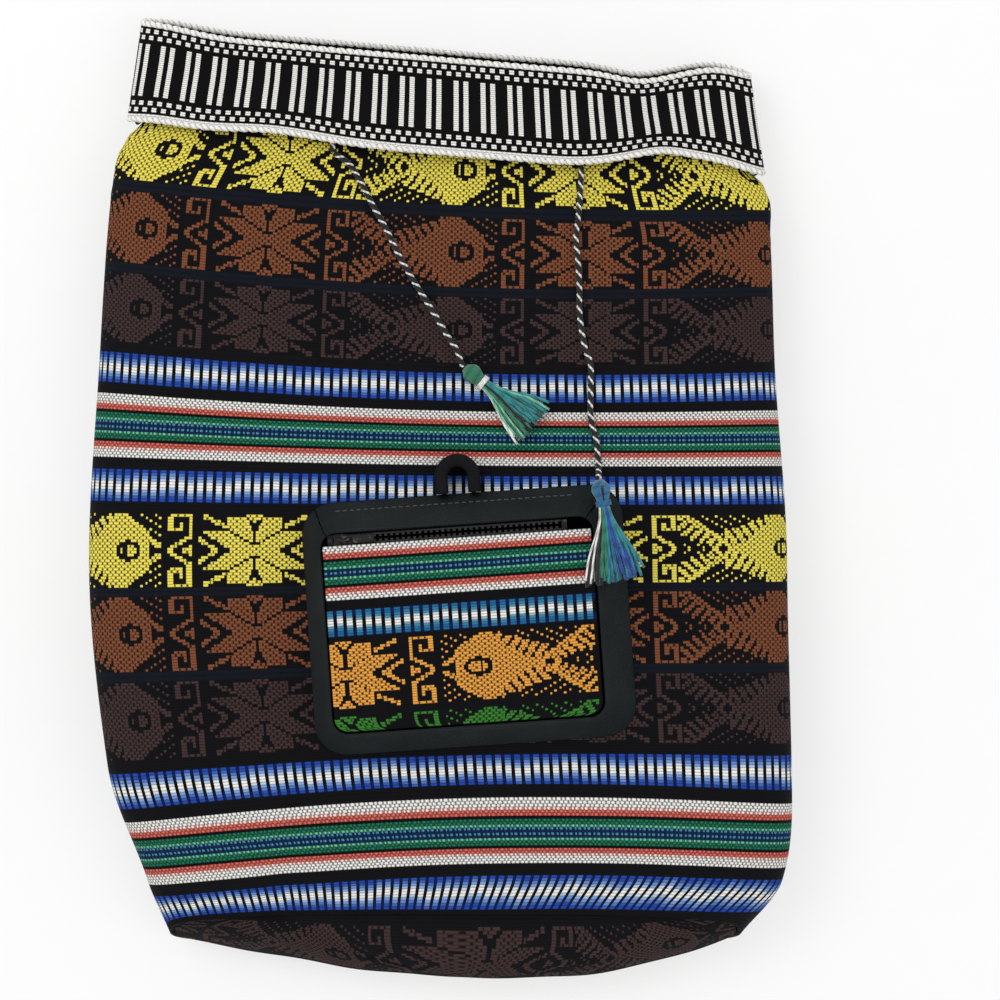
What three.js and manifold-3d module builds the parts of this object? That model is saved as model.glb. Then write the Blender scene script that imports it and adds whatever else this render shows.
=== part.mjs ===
// Woven drawstring backpack, empty and lying on its back: cloth bag with an oval base, woven collar
// round the mouth, drawstring with two tassels, zipped pouch on the front and two shoulder straps.
// Millimetres, +Z up, mouth towards +Y; the origin is the middle of the footprint, on the floor.
import * as THREE from "three";
import { mergeVertices } from "three/addons/utils/BufferGeometryUtils.js";
import Module from "manifold-3d";

const wasm = await Module();
wasm.setup();

// Gaps between pieces that are sewn or laid against each other
const clearance = 0.3;

// Cloth bag: widths across it at each rise above the base seam
const clothThickness = 2;
const clothRows = 22;
const seamWidth = 270;
const cornerWidth = 298;
const lowerWidth = 321;
const bellyWidth = 328;
const shoulderWidth = 313;
const neckWidth = 285;
const cornerRise = 24;
const lowerRise = 80;
const bellyRise = 175;
const clothLength = 405;
// Shoulder and neck, measured down from the upper edge of the cloth
const shoulderDrop = 70;
const neckDrop = 39;

// How far the lower corners lie over to the right, and the belly to the left
const cornerShift = 9;
const bellyShift = 3.6;

// Height of the front above the floor at the same places
const seamHeight = 50;
const lowerHeight = 66;
const bellyHeight = 62;
const shoulderHeight = 44;
const neckHeight = 34;
const mouthHeight = 30;
// Height of the back above the floor at the neck, where the cord runs beneath it
const neckLift = 10;
// Where the side seams lie between back and front, as a share of the height
const sideSeamShare = 0.42;
const frontSquareness = 2.9;
const backSquareness = 3.4;

// Creases of the front cloth: place, direction in degrees, length, width and height
const creases = [
  { x: -104, rise: 101, turn: 19, length: 46, width: 11, height: -5 },
  { x: -112, rise: 86, turn: 17, length: 42, width: 11, height: 3.5 },
  { x: -76, rise: 14, turn: 80, length: 24, width: 9, height: -4 },
  { x: 96, rise: 322, turn: -8, length: 60, width: 14, height: 2.5 },
  { x: -100, rise: 330, turn: -4, length: 55, width: 13, height: 2.5 },
];

// Oval base: how far it bulges out, and how far its front edge leans towards the mouth
const baseBulge = 21;
const baseLean = 20;
// How much more the base bulges on its right than on its left
const baseSkew = 0.35;

// Mouth: fall from the left to the right side, and how far the front rim lies below the back rim
const mouthFall = 24.8;
const rimDrop = 7;
// Waves of the rim: place across the bag, width and height
const rimWaves = [
  { x: 128, width: 20, height: 5.5 },
  { x: 90, width: 15, height: -2.5 },
  { x: -138, width: 24, height: 3.5 },
];

// Collar band
const collarHeight = 45;
const collarOverCloth = 10;
const collarThickness = 2;

// Drawstring
const cordDiameter = 3.6;
const cordSides = 8;
const cordDip = 5;
const runSteps = 44;
// How far above its exit the cord turns out from under the collar
const exitTurn = 7;
// Room for the cord where it turns round the sides
const cordEase = 1.8;
const leftExit = [-52.8, 366.5];
const rightExit = [63.6, 360.5];
// Routes of the free ends over the front, each point across the bag and above the base seam
const leftRoute = [
  [-45.1, 360.8], [-39.9, 352.6], [-33.2, 339.7], [-27.5, 329.7], [-21.8, 317.8], [-16.2, 307.9],
  [-9.2, 296.6], [-3.6, 287.6], [1, 279.8], [4.2, 275.2], [6.1, 271.5], [7.5, 267.4], [8.8, 265.1],
];
const rightRoute = [
  [63.2, 352.4], [62.7, 345], [61.7, 334], [60.7, 326], [61.5, 316.4], [61.9, 309.7], [62.3, 302.3],
  [62.3, 290.6], [63.6, 279.8], [64.9, 273.4], [67.2, 266.8], [67.4, 255.8], [67.2, 242.9], [68.1, 237.4],
  [69.8, 231.4], [70.7, 219.9], [70.6, 213.5],
];

// Tassels
const headLength = 9;
const headRadius = 4.4;
const waistRadius = 2.8;
const skirtThickness = 6;
const bindingHeight = 3;
const bindingThickness = 0.8;
const tasselFlutes = 11;
const leftTassel = { skirtLength: 30, spread: 27, turn: -40 };
const rightTassel = { skirtLength: 35, spread: 31, turn: -81 };

// Pouch on the front of the bag
const pouchCentre = [11.2, 148.8];
const pouchTurn = 4;
const pouchWidth = 148;
const pouchHeight = 116;
const pouchDepth = 16;
const pouchCorner = 15;
const cornerSteps = 5;
const sideSteps = 8;
const mitreGap = 0.15;
const gussetThickness = 2.4;
const panelInsetLeft = 7.4;
const panelInsetRight = 13;
const panelInsetBottom = 8.7;
const facingRun = 12.5;
const facingSwell = 1.6;
const panelCorner = 9;
const panelThickness = 2;
const panelCrown = 3;

// Zip in the slot between the facing and the panel
const slotWidth = 5;
const chainDrop = 6;
const tapeThickness = 0.8;
const teethThickness = 1.6;
const teethReach = 1.7;
const teethPitch = 2.6;
const dividerSlit = 1.2;
const teethBase = 0.7;
const chainLength = 104;
const chainStart = -59;
const stopLength = 2.4;

// Slider and pull
const sliderLength = 9;
const sliderWidth = 5.4;
const sliderPlate = 1;
const bailLength = 5.4;
const bailWidth = 1.2;
const bailBar = 0.9;
const pullLength = 14;
const pullWidth = 3.4;
const pullThickness = 1;
const pullWindow = 2;
const pullBar = 1;

// Tape loop above the pouch
const loopWidth = 21;
const loopHeight = 18;
const loopTape = 4.2;
const loopDepth = 10;
const loopAlong = -0.7;

// Shoulder straps behind the bag
const strapWidth = 38;
const strapThickness = 2.2;
const strapTopSpacing = 74;
const strapFootSpacing = 196;
const strapBow = 34;
const strapFootRise = -5;

const colours = {
  cloth: 0x2a2320,
  base: 0x3a2a22,
  collar: 0x26262a,
  cord: 0x3a3a3a,
  greenYarn: 0x1f6b4a,
  blueYarn: 0x2a7fae,
  binding: 0xd8d8d0,
  pouchCloth: 0x9c5a34,
  gusset: 0x2b2e31,
  tape: 0x141518,
  nylon: 0x1c1d20,
  metal: 0x3b3a38,
};

const group = new THREE.Group();
group.name = "drawstring_backpack";

function addPart(name, geometry, colour, metalness = 0) {
  const roughness = 0.9 - 0.5 * metalness;
  const material = new THREE.MeshStandardMaterial({ color: colour, roughness, metalness });
  geometry.computeVertexNormals();
  const mesh = new THREE.Mesh(geometry, material);
  mesh.name = name;
  group.add(mesh);
  return mesh;
}

// Smooth curve through stations of [place, value] that never swings past them
function profile(stations) {
  const rate = (index) => {
    const [start, from] = stations[index];
    const [end, to] = stations[index + 1];
    return (to - from) / (end - start);
  };
  const slope = (index) => {
    if (index === 0) return rate(0);
    if (index === stations.length - 1) return rate(index - 1);
    const before = rate(index - 1);
    const after = rate(index);
    return before * after > 0 ? (2 * before * after) / (before + after) : 0;
  };
  return (place) => {
    const held = THREE.MathUtils.clamp(place, stations[0][0], stations[stations.length - 1][0]);
    let index = 0;
    while (index < stations.length - 2 && held > stations[index + 1][0]) index += 1;
    const [start, from] = stations[index];
    const [end, to] = stations[index + 1];
    const span = end - start;
    const t = (held - start) / span;
    const rest = 1 - t;
    const ends = from * (1 + 2 * t) * rest * rest + to * (3 - 2 * t) * t * t;
    return ends + span * (slope(index) * t * rest * rest - slope(index + 1) * t * t * rest);
  };
}

// Closed sheet between an outer and an inner surface, each a function of u and v from 0 to 1
function sheet(outer, inner, columns, rows, isRing = false) {
  const count = isRing ? columns : columns + 1;
  const layer = count * (rows + 1);
  const points = [];
  const index = [];
  for (const face of [outer, inner]) {
    for (let row = 0; row <= rows; row += 1) {
      for (let column = 0; column < count; column += 1) {
        points.push(...face(column / columns, row / rows).toArray());
      }
    }
  }
  const at = (face, column, row) => face * layer + row * count + (column % count);
  const quad = (a, b, c, d) => index.push(a, b, c, a, c, d);
  for (let column = 0; column < columns; column += 1) {
    const next = column + 1;
    for (let row = 0; row < rows; row += 1) {
      quad(at(0, column, row), at(0, next, row), at(0, next, row + 1), at(0, column, row + 1));
      quad(at(1, column, row + 1), at(1, next, row + 1), at(1, next, row), at(1, column, row));
    }
    quad(at(1, column, 0), at(1, next, 0), at(0, next, 0), at(0, column, 0));
    quad(at(0, column, rows), at(0, next, rows), at(1, next, rows), at(1, column, rows));
  }
  for (let row = 0; row < rows && !isRing; row += 1) {
    quad(at(0, 0, row), at(0, 0, row + 1), at(1, 0, row + 1), at(1, 0, row));
    quad(at(1, columns, row), at(1, columns, row + 1), at(0, columns, row + 1), at(0, columns, row));
  }
  return faced(points, index);
}

// Geometry of a closed surface with its faces outward
function faced(points, index) {
  const corner = (place) => new THREE.Vector3().fromArray(points, 3 * index[place]);
  let volume = 0;
  for (let place = 0; place < index.length; place += 3) {
    volume += corner(place).dot(corner(place + 1).cross(corner(place + 2)));
  }
  const ordered = volume < 0 ? index.toReversed() : index;
  const geometry = new THREE.BufferGeometry();
  geometry.setAttribute("position", new THREE.Float32BufferAttribute(points, 3));
  geometry.setIndex(ordered);
  return geometry;
}

// Solid through closed rings of points, with a fan over each end
function loft(rings) {
  const sides = rings[0].length;
  const points = rings.flat().flatMap((point) => point.toArray());
  const index = [];
  for (let ring = 0; ring < rings.length - 1; ring += 1) {
    for (let side = 0; side < sides; side += 1) {
      const near = ring * sides;
      const next = (side + 1) % sides;
      index.push(near + side, near + next, near + sides + next);
      index.push(near + side, near + sides + next, near + sides + side);
    }
  }
  const last = (rings.length - 1) * sides;
  for (const [ring, isFirst] of [[rings[0], true], [rings[rings.length - 1], false]]) {
    const middle = ring.reduce((sum, point) => sum.add(point), new THREE.Vector3()).divideScalar(sides);
    const hub = points.length / 3;
    const start = isFirst ? 0 : last;
    points.push(...middle.toArray());
    for (let side = 0; side < sides; side += 1) {
      const next = (side + 1) % sides;
      index.push(hub, start + (isFirst ? next : side), start + (isFirst ? side : next));
    }
  }
  return faced(points, index);
}

function solid(geometry) {
  const bare = geometry.clone();
  bare.deleteAttribute("normal");
  bare.deleteAttribute("uv");
  const merged = mergeVertices(bare, 1e-4);
  return new wasm.Manifold(new wasm.Mesh({
    numProp: 3,
    vertProperties: new Float32Array(merged.attributes.position.array),
    triVerts: new Uint32Array(merged.index.array),
  }));
}

function meshOf(manifold) {
  const mesh = manifold.getMesh();
  const geometry = new THREE.BufferGeometry();
  geometry.setAttribute("position", new THREE.Float32BufferAttribute(mesh.vertProperties, 3));
  geometry.setIndex(Array.from(mesh.triVerts));
  return geometry;
}

function extrude(shape, depth, curveSegments = 12) {
  return new THREE.ExtrudeGeometry(shape, { depth, curveSegments, bevelEnabled: false });
}

function box(from, to) {
  const size = to.map((value, axis) => value - from[axis]);
  const geometry = new THREE.BoxGeometry(...size);
  return geometry.translate(from[0] + size[0] / 2, from[1] + size[1] / 2, from[2] + size[2] / 2);
}

// Form of the bag
const backHeight = strapThickness + clearance;
const shoulderRise = clothLength - shoulderDrop;
const neckRise = clothLength - neckDrop;
const collarTop = clothLength + collarOverCloth;
const collarFoot = collarTop - collarHeight;
const halfWidthAt = profile([
  [0, seamWidth / 2],
  [cornerRise, cornerWidth / 2],
  [lowerRise, lowerWidth / 2],
  [bellyRise, bellyWidth / 2],
  [shoulderRise, shoulderWidth / 2],
  [neckRise, neckWidth / 2],
  [collarTop, neckWidth / 2 - 1],
]);
const heightAt = profile([
  [0, seamHeight],
  [cornerRise, (seamHeight + lowerHeight) / 2 + 3],
  [lowerRise, lowerHeight],
  [bellyRise, bellyHeight],
  [shoulderRise, shoulderHeight],
  [neckRise, neckHeight],
  [collarTop, mouthHeight],
]);
const backAt = profile([
  [0, backHeight + 2],
  [lowerRise, backHeight],
  [bellyRise, backHeight],
  [shoulderRise - 40, backHeight],
  [neckRise - 8, neckLift],
  [collarTop, neckLift],
]);
const middleAt = profile([
  [0, cornerShift / 2],
  [cornerRise, cornerShift],
  [lowerRise, cornerShift / 5],
  [bellyRise, -bellyShift],
  [shoulderRise, -bellyShift / 2.5],
  [neckRise, 0],
  [collarTop, 0],
]);

function creaseHeight(x, rise) {
  return creases.reduce((sum, crease) => {
    const turn = THREE.MathUtils.degToRad(crease.turn);
    const along = (x - crease.x) * Math.cos(turn) + (rise - crease.rise) * Math.sin(turn);
    const across = (rise - crease.rise) * Math.cos(turn) - (x - crease.x) * Math.sin(turn);
    return sum + crease.height * Math.exp(-((along / crease.length) ** 2) - (across / crease.width) ** 2);
  }, 0);
}

// How far a point of the bag moves along it: the base leans, the mouth falls to the right and its rim waves
function slideAlong(rise, x, level) {
  const nearBase = (1 - THREE.MathUtils.smoothstep(rise, 0, 70)) * baseLean;
  const nearMouth = THREE.MathUtils.smoothstep(rise, 120, collarTop);
  const waveAt = (wave) => wave.height * Math.exp(-(((x - wave.x) / wave.width) ** 2));
  const waves = rimWaves.reduce((sum, wave) => sum + waveAt(wave), 0);
  return level * nearBase - nearMouth * ((x / neckWidth) * mouthFall + level * rimDrop - waves);
}

// Point on the bag at an angle round it: 0 on the right side seam, a quarter turn on the front
function bagPoint(rise, angle, outward, lift = 0) {
  const isFront = Math.sin(angle) >= 0;
  const squareness = 2 / (isFront ? frontSquareness : backSquareness);
  const across = Math.sign(Math.cos(angle)) * Math.abs(Math.cos(angle)) ** squareness;
  const up = Math.abs(Math.sin(angle)) ** squareness;
  const seamLevel = backAt(rise) + sideSeamShare * (heightAt(rise) - backAt(rise));
  const x = middleAt(rise) + (halfWidthAt(rise) + outward) * across;
  const reach = isFront ? heightAt(rise) + outward - seamLevel : backAt(rise) - outward - seamLevel;
  const crease = isFront ? creaseHeight(x, rise) * up ** 3 : 0;
  const level = (isFront ? up : -up) * (isFront ? 1 - sideSeamShare : sideSeamShare);
  return new THREE.Vector3(x, rise + slideAlong(rise, x, level), seamLevel + lift + reach * up + crease);
}

// Height of the front cloth above the floor
function frontHeight(x, y) {
  let rise = y;
  let up = 1;
  for (let turn = 0; turn < 6; turn += 1) {
    const share = Math.min(Math.abs((x - middleAt(rise)) / halfWidthAt(rise)), 1);
    up = (1 - share ** frontSquareness) ** (1 / frontSquareness);
    rise = y - slideAlong(rise, x, up * (1 - sideSeamShare));
  }
  const seamLevel = backAt(rise) + sideSeamShare * (heightAt(rise) - backAt(rise));
  return seamLevel + (heightAt(rise) - seamLevel) * up + creaseHeight(x, rise) * up ** 3;
}

// Bag cloth and base
const frontAngle = (u) => Math.PI * (1 - u);
const backAngle = (u) => Math.PI * (1 + u);
addPart("bag_front", sheet(
  (u, v) => bagPoint(v * clothLength, frontAngle(u), 0, clearance / 2),
  (u, v) => bagPoint(v * clothLength, frontAngle(u), -clothThickness, clearance / 2),
  26, clothRows,
), colours.cloth);
addPart("bag_back", sheet(
  (u, v) => bagPoint(v * clothLength, backAngle(u), 0, -clearance / 2),
  (u, v) => bagPoint(v * clothLength, backAngle(u), -clothThickness, -clearance / 2),
  14, clothRows,
), colours.cloth);

function basePoint(u, v, inward) {
  const s = 2 * u - 1;
  const t = 2 * v - 1;
  const disc = new THREE.Vector2(s * Math.sqrt(1 - (t * t) / 2), t * Math.sqrt(1 - (s * s) / 2));
  const radius = Math.min(disc.length(), 1);
  const rim = bagPoint(0, disc.angle(), -clothThickness - 2 * clearance);
  const hub = bagPoint(0, 0, -halfWidthAt(0));
  const point = hub.clone().lerp(rim, radius);
  point.y -= baseBulge * (1 - radius * radius) * (1 + baseSkew * disc.x) - inward;
  return point;
}
addPart("bag_base", sheet(
  (u, v) => basePoint(u, v, 0),
  (u, v) => basePoint(u, v, clothThickness),
  18, 10,
), colours.base);

// Collar round the mouth, standing off at its foot where the cord runs beneath it
const collarStandOff = (v) => {
  const overCord = 1 - THREE.MathUtils.smoothstep(v, 0.22, 0.62);
  return 2 * clearance + overCord * (cordDiameter + cordEase + clearance);
};
const collarRise = (v) => collarFoot + v * collarHeight;
addPart("collar_band", sheet(
  (u, v) => bagPoint(collarRise(v), u * 2 * Math.PI, collarStandOff(v) + collarThickness),
  (u, v) => bagPoint(collarRise(v), u * 2 * Math.PI, collarStandOff(v)),
  48, 5, true,
), colours.collar);

// Drawstring: the run under the collar, from the left exit round the back to the right exit
function cord(name, points) {
  const outline = new THREE.Shape();
  outline.absarc(0, 0, cordDiameter / 2, 0, 2 * Math.PI);
  const section = new THREE.Shape(outline.getPoints(cordSides).slice(0, cordSides));
  const curve = new THREE.CatmullRomCurve3(points, false, "centripetal");
  const steps = Math.ceil(curve.getLength() / (2.4 * cordDiameter));
  const body = new THREE.ExtrudeGeometry(section, { steps, extrudePath: curve, bevelEnabled: false });
  addPart(name, body, colours.cord);
}
const cordLift = cordDiameter / 2 + clearance;
const onFront = ([x, y]) => new THREE.Vector3(x, y, frontHeight(x, y) + cordLift + cordEase / 2);
const cordRise = collarFoot + cordDiameter;
const aboveExit = ([x, y]) => [x + Math.sign(x), y + exitTurn];
const runPoints = [onFront(leftExit), onFront(aboveExit(leftExit))];
const exitAngle = ([x]) => {
  const share = Math.abs(x / halfWidthAt(cordRise)) ** (frontSquareness / 2);
  return Math.acos(Math.sign(x) * share);
};
const runFrom = exitAngle(leftExit) + 0.16;
const runTo = 2 * Math.PI + exitAngle(rightExit) - 0.16;
for (let step = 0; step <= runSteps; step += 1) {
  const angle = THREE.MathUtils.lerp(runFrom, runTo, step / runSteps);
  const dip = cordDip * Math.abs(Math.cos(angle)) ** 12;
  runPoints.push(bagPoint(cordRise - dip, angle, cordLift + cordEase));
}
runPoints.push(onFront(aboveExit(rightExit)), onFront(rightExit));
cord("drawstring_run", runPoints);

// Pouch frame: turned on the front, heights measured from the cloth under its middle
const pouchBase = frontHeight(...pouchCentre);
const pouchFrame = new THREE.Matrix4()
  .makeRotationZ(THREE.MathUtils.degToRad(pouchTurn))
  .setPosition(pouchCentre[0], pouchCentre[1], pouchBase);
const bagToPouch = pouchFrame.clone().invert();
const pouchPoint = (p, q, r) => new THREE.Vector3(p, q, r).applyMatrix4(pouchFrame);
const clothUnder = (p, q) => {
  const place = pouchPoint(p, q, 0);
  return frontHeight(place.x, place.y) - pouchBase;
};

// Rounded outline from the top left corner, anticlockwise, each straight side parted into equal steps
function roundedOutline({ left, right, bottom, top, radius }) {
  const corners = [
    [left + radius, top - radius, 90],
    [left + radius, bottom + radius, 180],
    [right - radius, bottom + radius, 270],
    [right - radius, top - radius, 0],
  ];
  const onCorner = ([p, q, from], step) => {
    const angle = THREE.MathUtils.degToRad(from + (90 * step) / cornerSteps);
    return new THREE.Vector2(p + radius * Math.cos(angle), q + radius * Math.sin(angle));
  };
  return corners.flatMap((corner, place) => {
    const sideStart = onCorner(corner, cornerSteps);
    const sideEnd = onCorner(corners[(place + 1) % 4], 0);
    const arc = Array.from({ length: cornerSteps }, (_, step) => onCorner(corner, step));
    const onSide = (_, step) => sideStart.clone().lerp(sideEnd, step / sideSteps);
    return [...arc, ...Array.from({ length: sideSteps }, onSide)];
  });
}
const footSize = {
  left: -pouchWidth / 2,
  right: pouchWidth / 2,
  bottom: -pouchHeight / 2,
  top: pouchHeight / 2,
  radius: pouchCorner,
};
const rimSize = {
  left: footSize.left + panelInsetLeft,
  right: footSize.right - panelInsetRight,
  bottom: footSize.bottom + panelInsetBottom,
  top: footSize.top - facingRun,
  radius: panelCorner,
};
const shrunk = (size, by) => ({
  left: size.left + by,
  right: size.right - by,
  bottom: size.bottom + by,
  top: size.top - by,
  radius: size.radius - by,
});

// Wall of the pouch between places of its outline, leaning in from the cloth to the rim
const outerWall = [roundedOutline(footSize), roundedOutline(rimSize)];
const innerWall = [
  roundedOutline(shrunk(footSize, gussetThickness)),
  roundedOutline(shrunk(rimSize, gussetThickness)),
];
function pouchWall(name, places, rows, swell) {
  const onOutline = (outline, place) => {
    const from = outline[Math.floor(place) % outline.length];
    const to = outline[Math.ceil(place) % outline.length];
    return from.clone().lerp(to, place - Math.floor(place));
  };
  const wallPoint = ([foot, rim], swelling) => (u, v) => {
    const place = places[Math.round(u * (places.length - 1))];
    const low = onOutline(foot, place);
    const flat = low.clone().lerp(onOutline(rim, place), v);
    const start = clothUnder(low.x, low.y) + 3 * clearance;
    return pouchPoint(flat.x, flat.y, start + (pouchDepth - start) * v + swelling * Math.sin(Math.PI * v));
  };
  const columns = places.length - 1;
  addPart(name, sheet(wallPoint(outerWall, swell), wallPoint(innerWall, 0), columns, rows), colours.gusset);
}
const range = (from, to) => Array.from({ length: to - from + 1 }, (_, step) => from + step);
const outlineCount = 4 * (cornerSteps + sideSteps);
const leftMitre = 2;
const rightMitre = outlineCount - sideSteps - cornerSteps + 3;
pouchWall("pouch_gusset", range(leftMitre, rightMitre), 4, 0.8);
pouchWall("pouch_facing", [
  rightMitre + mitreGap,
  ...range(rightMitre + 1, outlineCount + leftMitre - 1),
  outlineCount + leftMitre - mitreGap,
], 4, facingSwell);

// Front panel of the pouch, below the slot
const slotTop = rimSize.top - gussetThickness;
const panelTop = slotTop - slotWidth;
const panelSize = shrunk(rimSize, gussetThickness + clearance);
const panelAt = (p, q) => {
  const across = (2 * p - panelSize.left - panelSize.right) / (panelSize.right - panelSize.left);
  const along = (2 * q - panelSize.bottom - panelTop) / (panelTop - panelSize.bottom);
  return panelCrown * Math.max(1 - across * across, 0) * Math.max(1 - along * along, 0);
};
function panelPoint(u, v, depth) {
  const q = THREE.MathUtils.lerp(panelSize.bottom, panelTop, v);
  const intoCorner = Math.max(panelSize.bottom + panelSize.radius - q, 0);
  const depthInCorner = Math.min(intoCorner, panelSize.radius);
  const inset = panelSize.radius - Math.sqrt(panelSize.radius ** 2 - depthInCorner ** 2);
  const p = THREE.MathUtils.lerp(panelSize.left + inset, panelSize.right - inset, u);
  return pouchPoint(p, q, pouchDepth + panelAt(p, q) - depth);
}
const panelRow = (v) => v ** 1.6;
addPart("pouch_panel", sheet(
  (u, v) => panelPoint(u, panelRow(v), 0),
  (u, v) => panelPoint(u, panelRow(v), panelThickness),
  14, 12,
), colours.pouchCloth);

// Zip: tapes, rows of teeth and stops, in the frame of the pouch
const chainLevel = pouchDepth - chainDrop;
const chainMiddle = slotTop - slotWidth / 2;
const chainEnd = chainStart + chainLength;
const teethEdge = dividerSlit / 2 + teethReach;
const inPouch = (geometry) => geometry.applyMatrix4(pouchFrame);
function zipTape(name, near, far) {
  const along = far.clone().sub(near).normalize();
  const lift = new THREE.Vector2(-along.y, along.x).multiplyScalar(tapeThickness / 2);
  const upper = [near.clone().add(lift), far.clone().add(lift)];
  const lower = [far.clone().sub(lift), near.clone().sub(lift)];
  const corners = [...upper, ...lower];
  const ring = (p) => corners.map(({ x, y }) => new THREE.Vector3(p, x, y));
  addPart(name, inPouch(loft([ring(chainStart), ring(chainEnd)])), colours.tape);
}
const tapeStart = teethEdge + 2 * clearance;
const facingFoot = Math.min(...[chainStart, 0, chainEnd].map((p) => clothUnder(p, footSize.top)));
const facingSlope = new THREE.Vector2(facingRun, facingFoot - pouchDepth);
const upperFar = new THREE.Vector2(slotTop, pouchDepth).addScaledVector(facingSlope, 0.7);
const intoPouch = new THREE.Vector2(facingSlope.y, -facingSlope.x).setLength(tapeThickness + 2 * clearance);
upperFar.add(intoPouch);
zipTape("zip_tape_upper", new THREE.Vector2(chainMiddle + tapeStart, chainLevel), upperFar);
const underPanel = pouchDepth - panelThickness - tapeThickness / 2 - 2 * clearance;
const lowerFar = new THREE.Vector2(panelTop - 6, underPanel);
zipTape("zip_tape_lower", new THREE.Vector2(chainMiddle - tapeStart, chainLevel), lowerFar);

function zipTeeth(name, side) {
  const at = (p, q) => new THREE.Vector2(p, side * q);
  const inner = teethEdge - teethBase;
  const tip = dividerSlit / 2;
  const outline = [at(chainStart, teethEdge)];
  const count = Math.floor(chainLength / teethPitch);
  for (let tooth = 0; tooth < count; tooth += 1) {
    const from = chainStart + tooth * teethPitch;
    const to = from + teethPitch / 2;
    if (tooth > 0) outline.push(at(from, inner));
    outline.push(at(from, tip), at(to, tip), at(to, inner));
  }
  outline.push(at(chainEnd, inner), at(chainEnd, teethEdge));
  const geometry = extrude(new THREE.Shape(outline), teethThickness);
  geometry.translate(0, chainMiddle, chainLevel - teethThickness / 2);
  addPart(name, inPouch(geometry), colours.nylon);
}
zipTeeth("zip_teeth_upper", 1);
zipTeeth("zip_teeth_lower", -1);

function zipStop(name, from) {
  const geometry = box(
    [from, chainMiddle - teethEdge, chainLevel - teethThickness / 2],
    [from + stopLength, chainMiddle + teethEdge, chainLevel + teethThickness / 2],
  );
  addPart(name, inPouch(geometry), colours.metal, 0.6);
}
zipStop("zip_stop_left", chainStart - clearance - stopLength);
zipStop("zip_stop_right", chainEnd + clearance);

// Slider at the closed end: two plates joined by the divider, with a bail on top that holds the pull
const plateGap = teethThickness + 2 * clearance;
const sliderRest = chainStart + clearance + sliderLength / 2;
const sliderFrame = new THREE.Matrix4()
  .makeTranslation(sliderRest, chainMiddle, chainLevel)
  .premultiply(pouchFrame);
const plate = new THREE.Shape();
plate.moveTo(-sliderLength / 2, -sliderWidth / 2 + 1);
plate.quadraticCurveTo(-sliderLength / 2, -sliderWidth / 2, -sliderLength / 2 + 1, -sliderWidth / 2);
plate.lineTo(0, -sliderWidth / 2);
plate.quadraticCurveTo(sliderLength / 4, -sliderWidth / 2.4, sliderLength / 2, -sliderWidth / 2.6);
plate.lineTo(sliderLength / 2, sliderWidth / 2.6);
plate.quadraticCurveTo(sliderLength / 4, sliderWidth / 2.4, 0, sliderWidth / 2);
plate.lineTo(-sliderLength / 2 + 1, sliderWidth / 2);
plate.quadraticCurveTo(-sliderLength / 2, sliderWidth / 2, -sliderLength / 2, sliderWidth / 2 - 1);
const plateAt = (level) => solid(extrude(plate, sliderPlate, 4).translate(0, 0, level));
const plateTop = plateGap / 2 + sliderPlate;
const pullClear = Math.SQRT2 * pullBar;
const bailTop = plateTop + 2 * clearance + pullClear + bailBar;
const dividerWidth = dividerSlit - 2 * clearance;
const divider = box(
  [-sliderLength / 2 + 1, -dividerWidth / 2, -plateGap / 2 - sliderPlate / 2],
  [-sliderLength / 2 + 3, dividerWidth / 2, plateGap / 2 + sliderPlate / 2],
);
const bailOuter = box(
  [-bailLength / 2, -bailWidth / 2, plateTop - sliderPlate / 2],
  [bailLength / 2, bailWidth / 2, bailTop],
);
const bailInner = box(
  [-bailLength / 2 + bailBar, -bailWidth, plateTop],
  [bailLength / 2 - bailBar, bailWidth, bailTop - bailBar],
);
const slider = plateAt(plateGap / 2)
  .add(plateAt(-plateTop))
  .add(solid(divider))
  .add(solid(bailOuter).subtract(solid(bailInner)));
addPart("zip_slider", meshOf(slider).applyMatrix4(sliderFrame), colours.metal, 0.6);

// Pull lying flat along the zip, its end bar under the bail
const pullAxis = plateTop + clearance + pullClear / 2;
const windowEnd = bailLength / 2 + 1.1;
const tab = new THREE.Shape();
tab.moveTo(-pullBar / 2, -pullWidth / 2);
tab.lineTo(pullLength - pullWidth / 2, -pullWidth / 2);
tab.absarc(pullLength - pullWidth / 2, 0, pullWidth / 2, -Math.PI / 2, Math.PI / 2);
tab.lineTo(-pullBar / 2, pullWidth / 2);
const pullHole = box(
  [pullBar / 2, -pullWindow / 2, -pullThickness],
  [windowEnd, pullWindow / 2, pullThickness],
);
const tabPlate = extrude(tab, pullThickness, 6).translate(0, 0, -pullThickness / 2);
const pull = solid(tabPlate).subtract(solid(pullHole));
const pullFrame = new THREE.Matrix4().makeTranslation(0, 0, pullAxis).premultiply(sliderFrame);
addPart("zip_pull", meshOf(pull).applyMatrix4(pullFrame), colours.metal, 0.6);

// Tape loop standing on edge above the pouch
const loopFoot = footSize.top + clearance;
const loopRadius = loopWidth / 2;
const loopEnds = [-loopRadius, loopRadius].flatMap((aside) => [
  clothUnder(loopAlong + aside, loopFoot),
  clothUnder(loopAlong + aside, loopFoot + loopHeight),
]);
const loopLow = Math.max(...loopEnds, clothUnder(loopAlong, loopFoot + loopHeight)) + clearance;
const loopShape = new THREE.Shape();
loopShape.moveTo(-loopRadius, 0);
loopShape.lineTo(-loopRadius, loopHeight - loopRadius);
loopShape.absarc(0, loopHeight - loopRadius, loopRadius, Math.PI, 0, true);
loopShape.lineTo(loopRadius, 0);
loopShape.lineTo(loopRadius - loopTape, 0);
loopShape.lineTo(loopRadius - loopTape, loopHeight - loopRadius);
loopShape.absarc(0, loopHeight - loopRadius, loopRadius - loopTape, 0, Math.PI, false);
loopShape.lineTo(-loopRadius + loopTape, 0);
const loopBody = extrude(loopShape, loopDepth).translate(loopAlong, loopFoot, loopLow);
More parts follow.
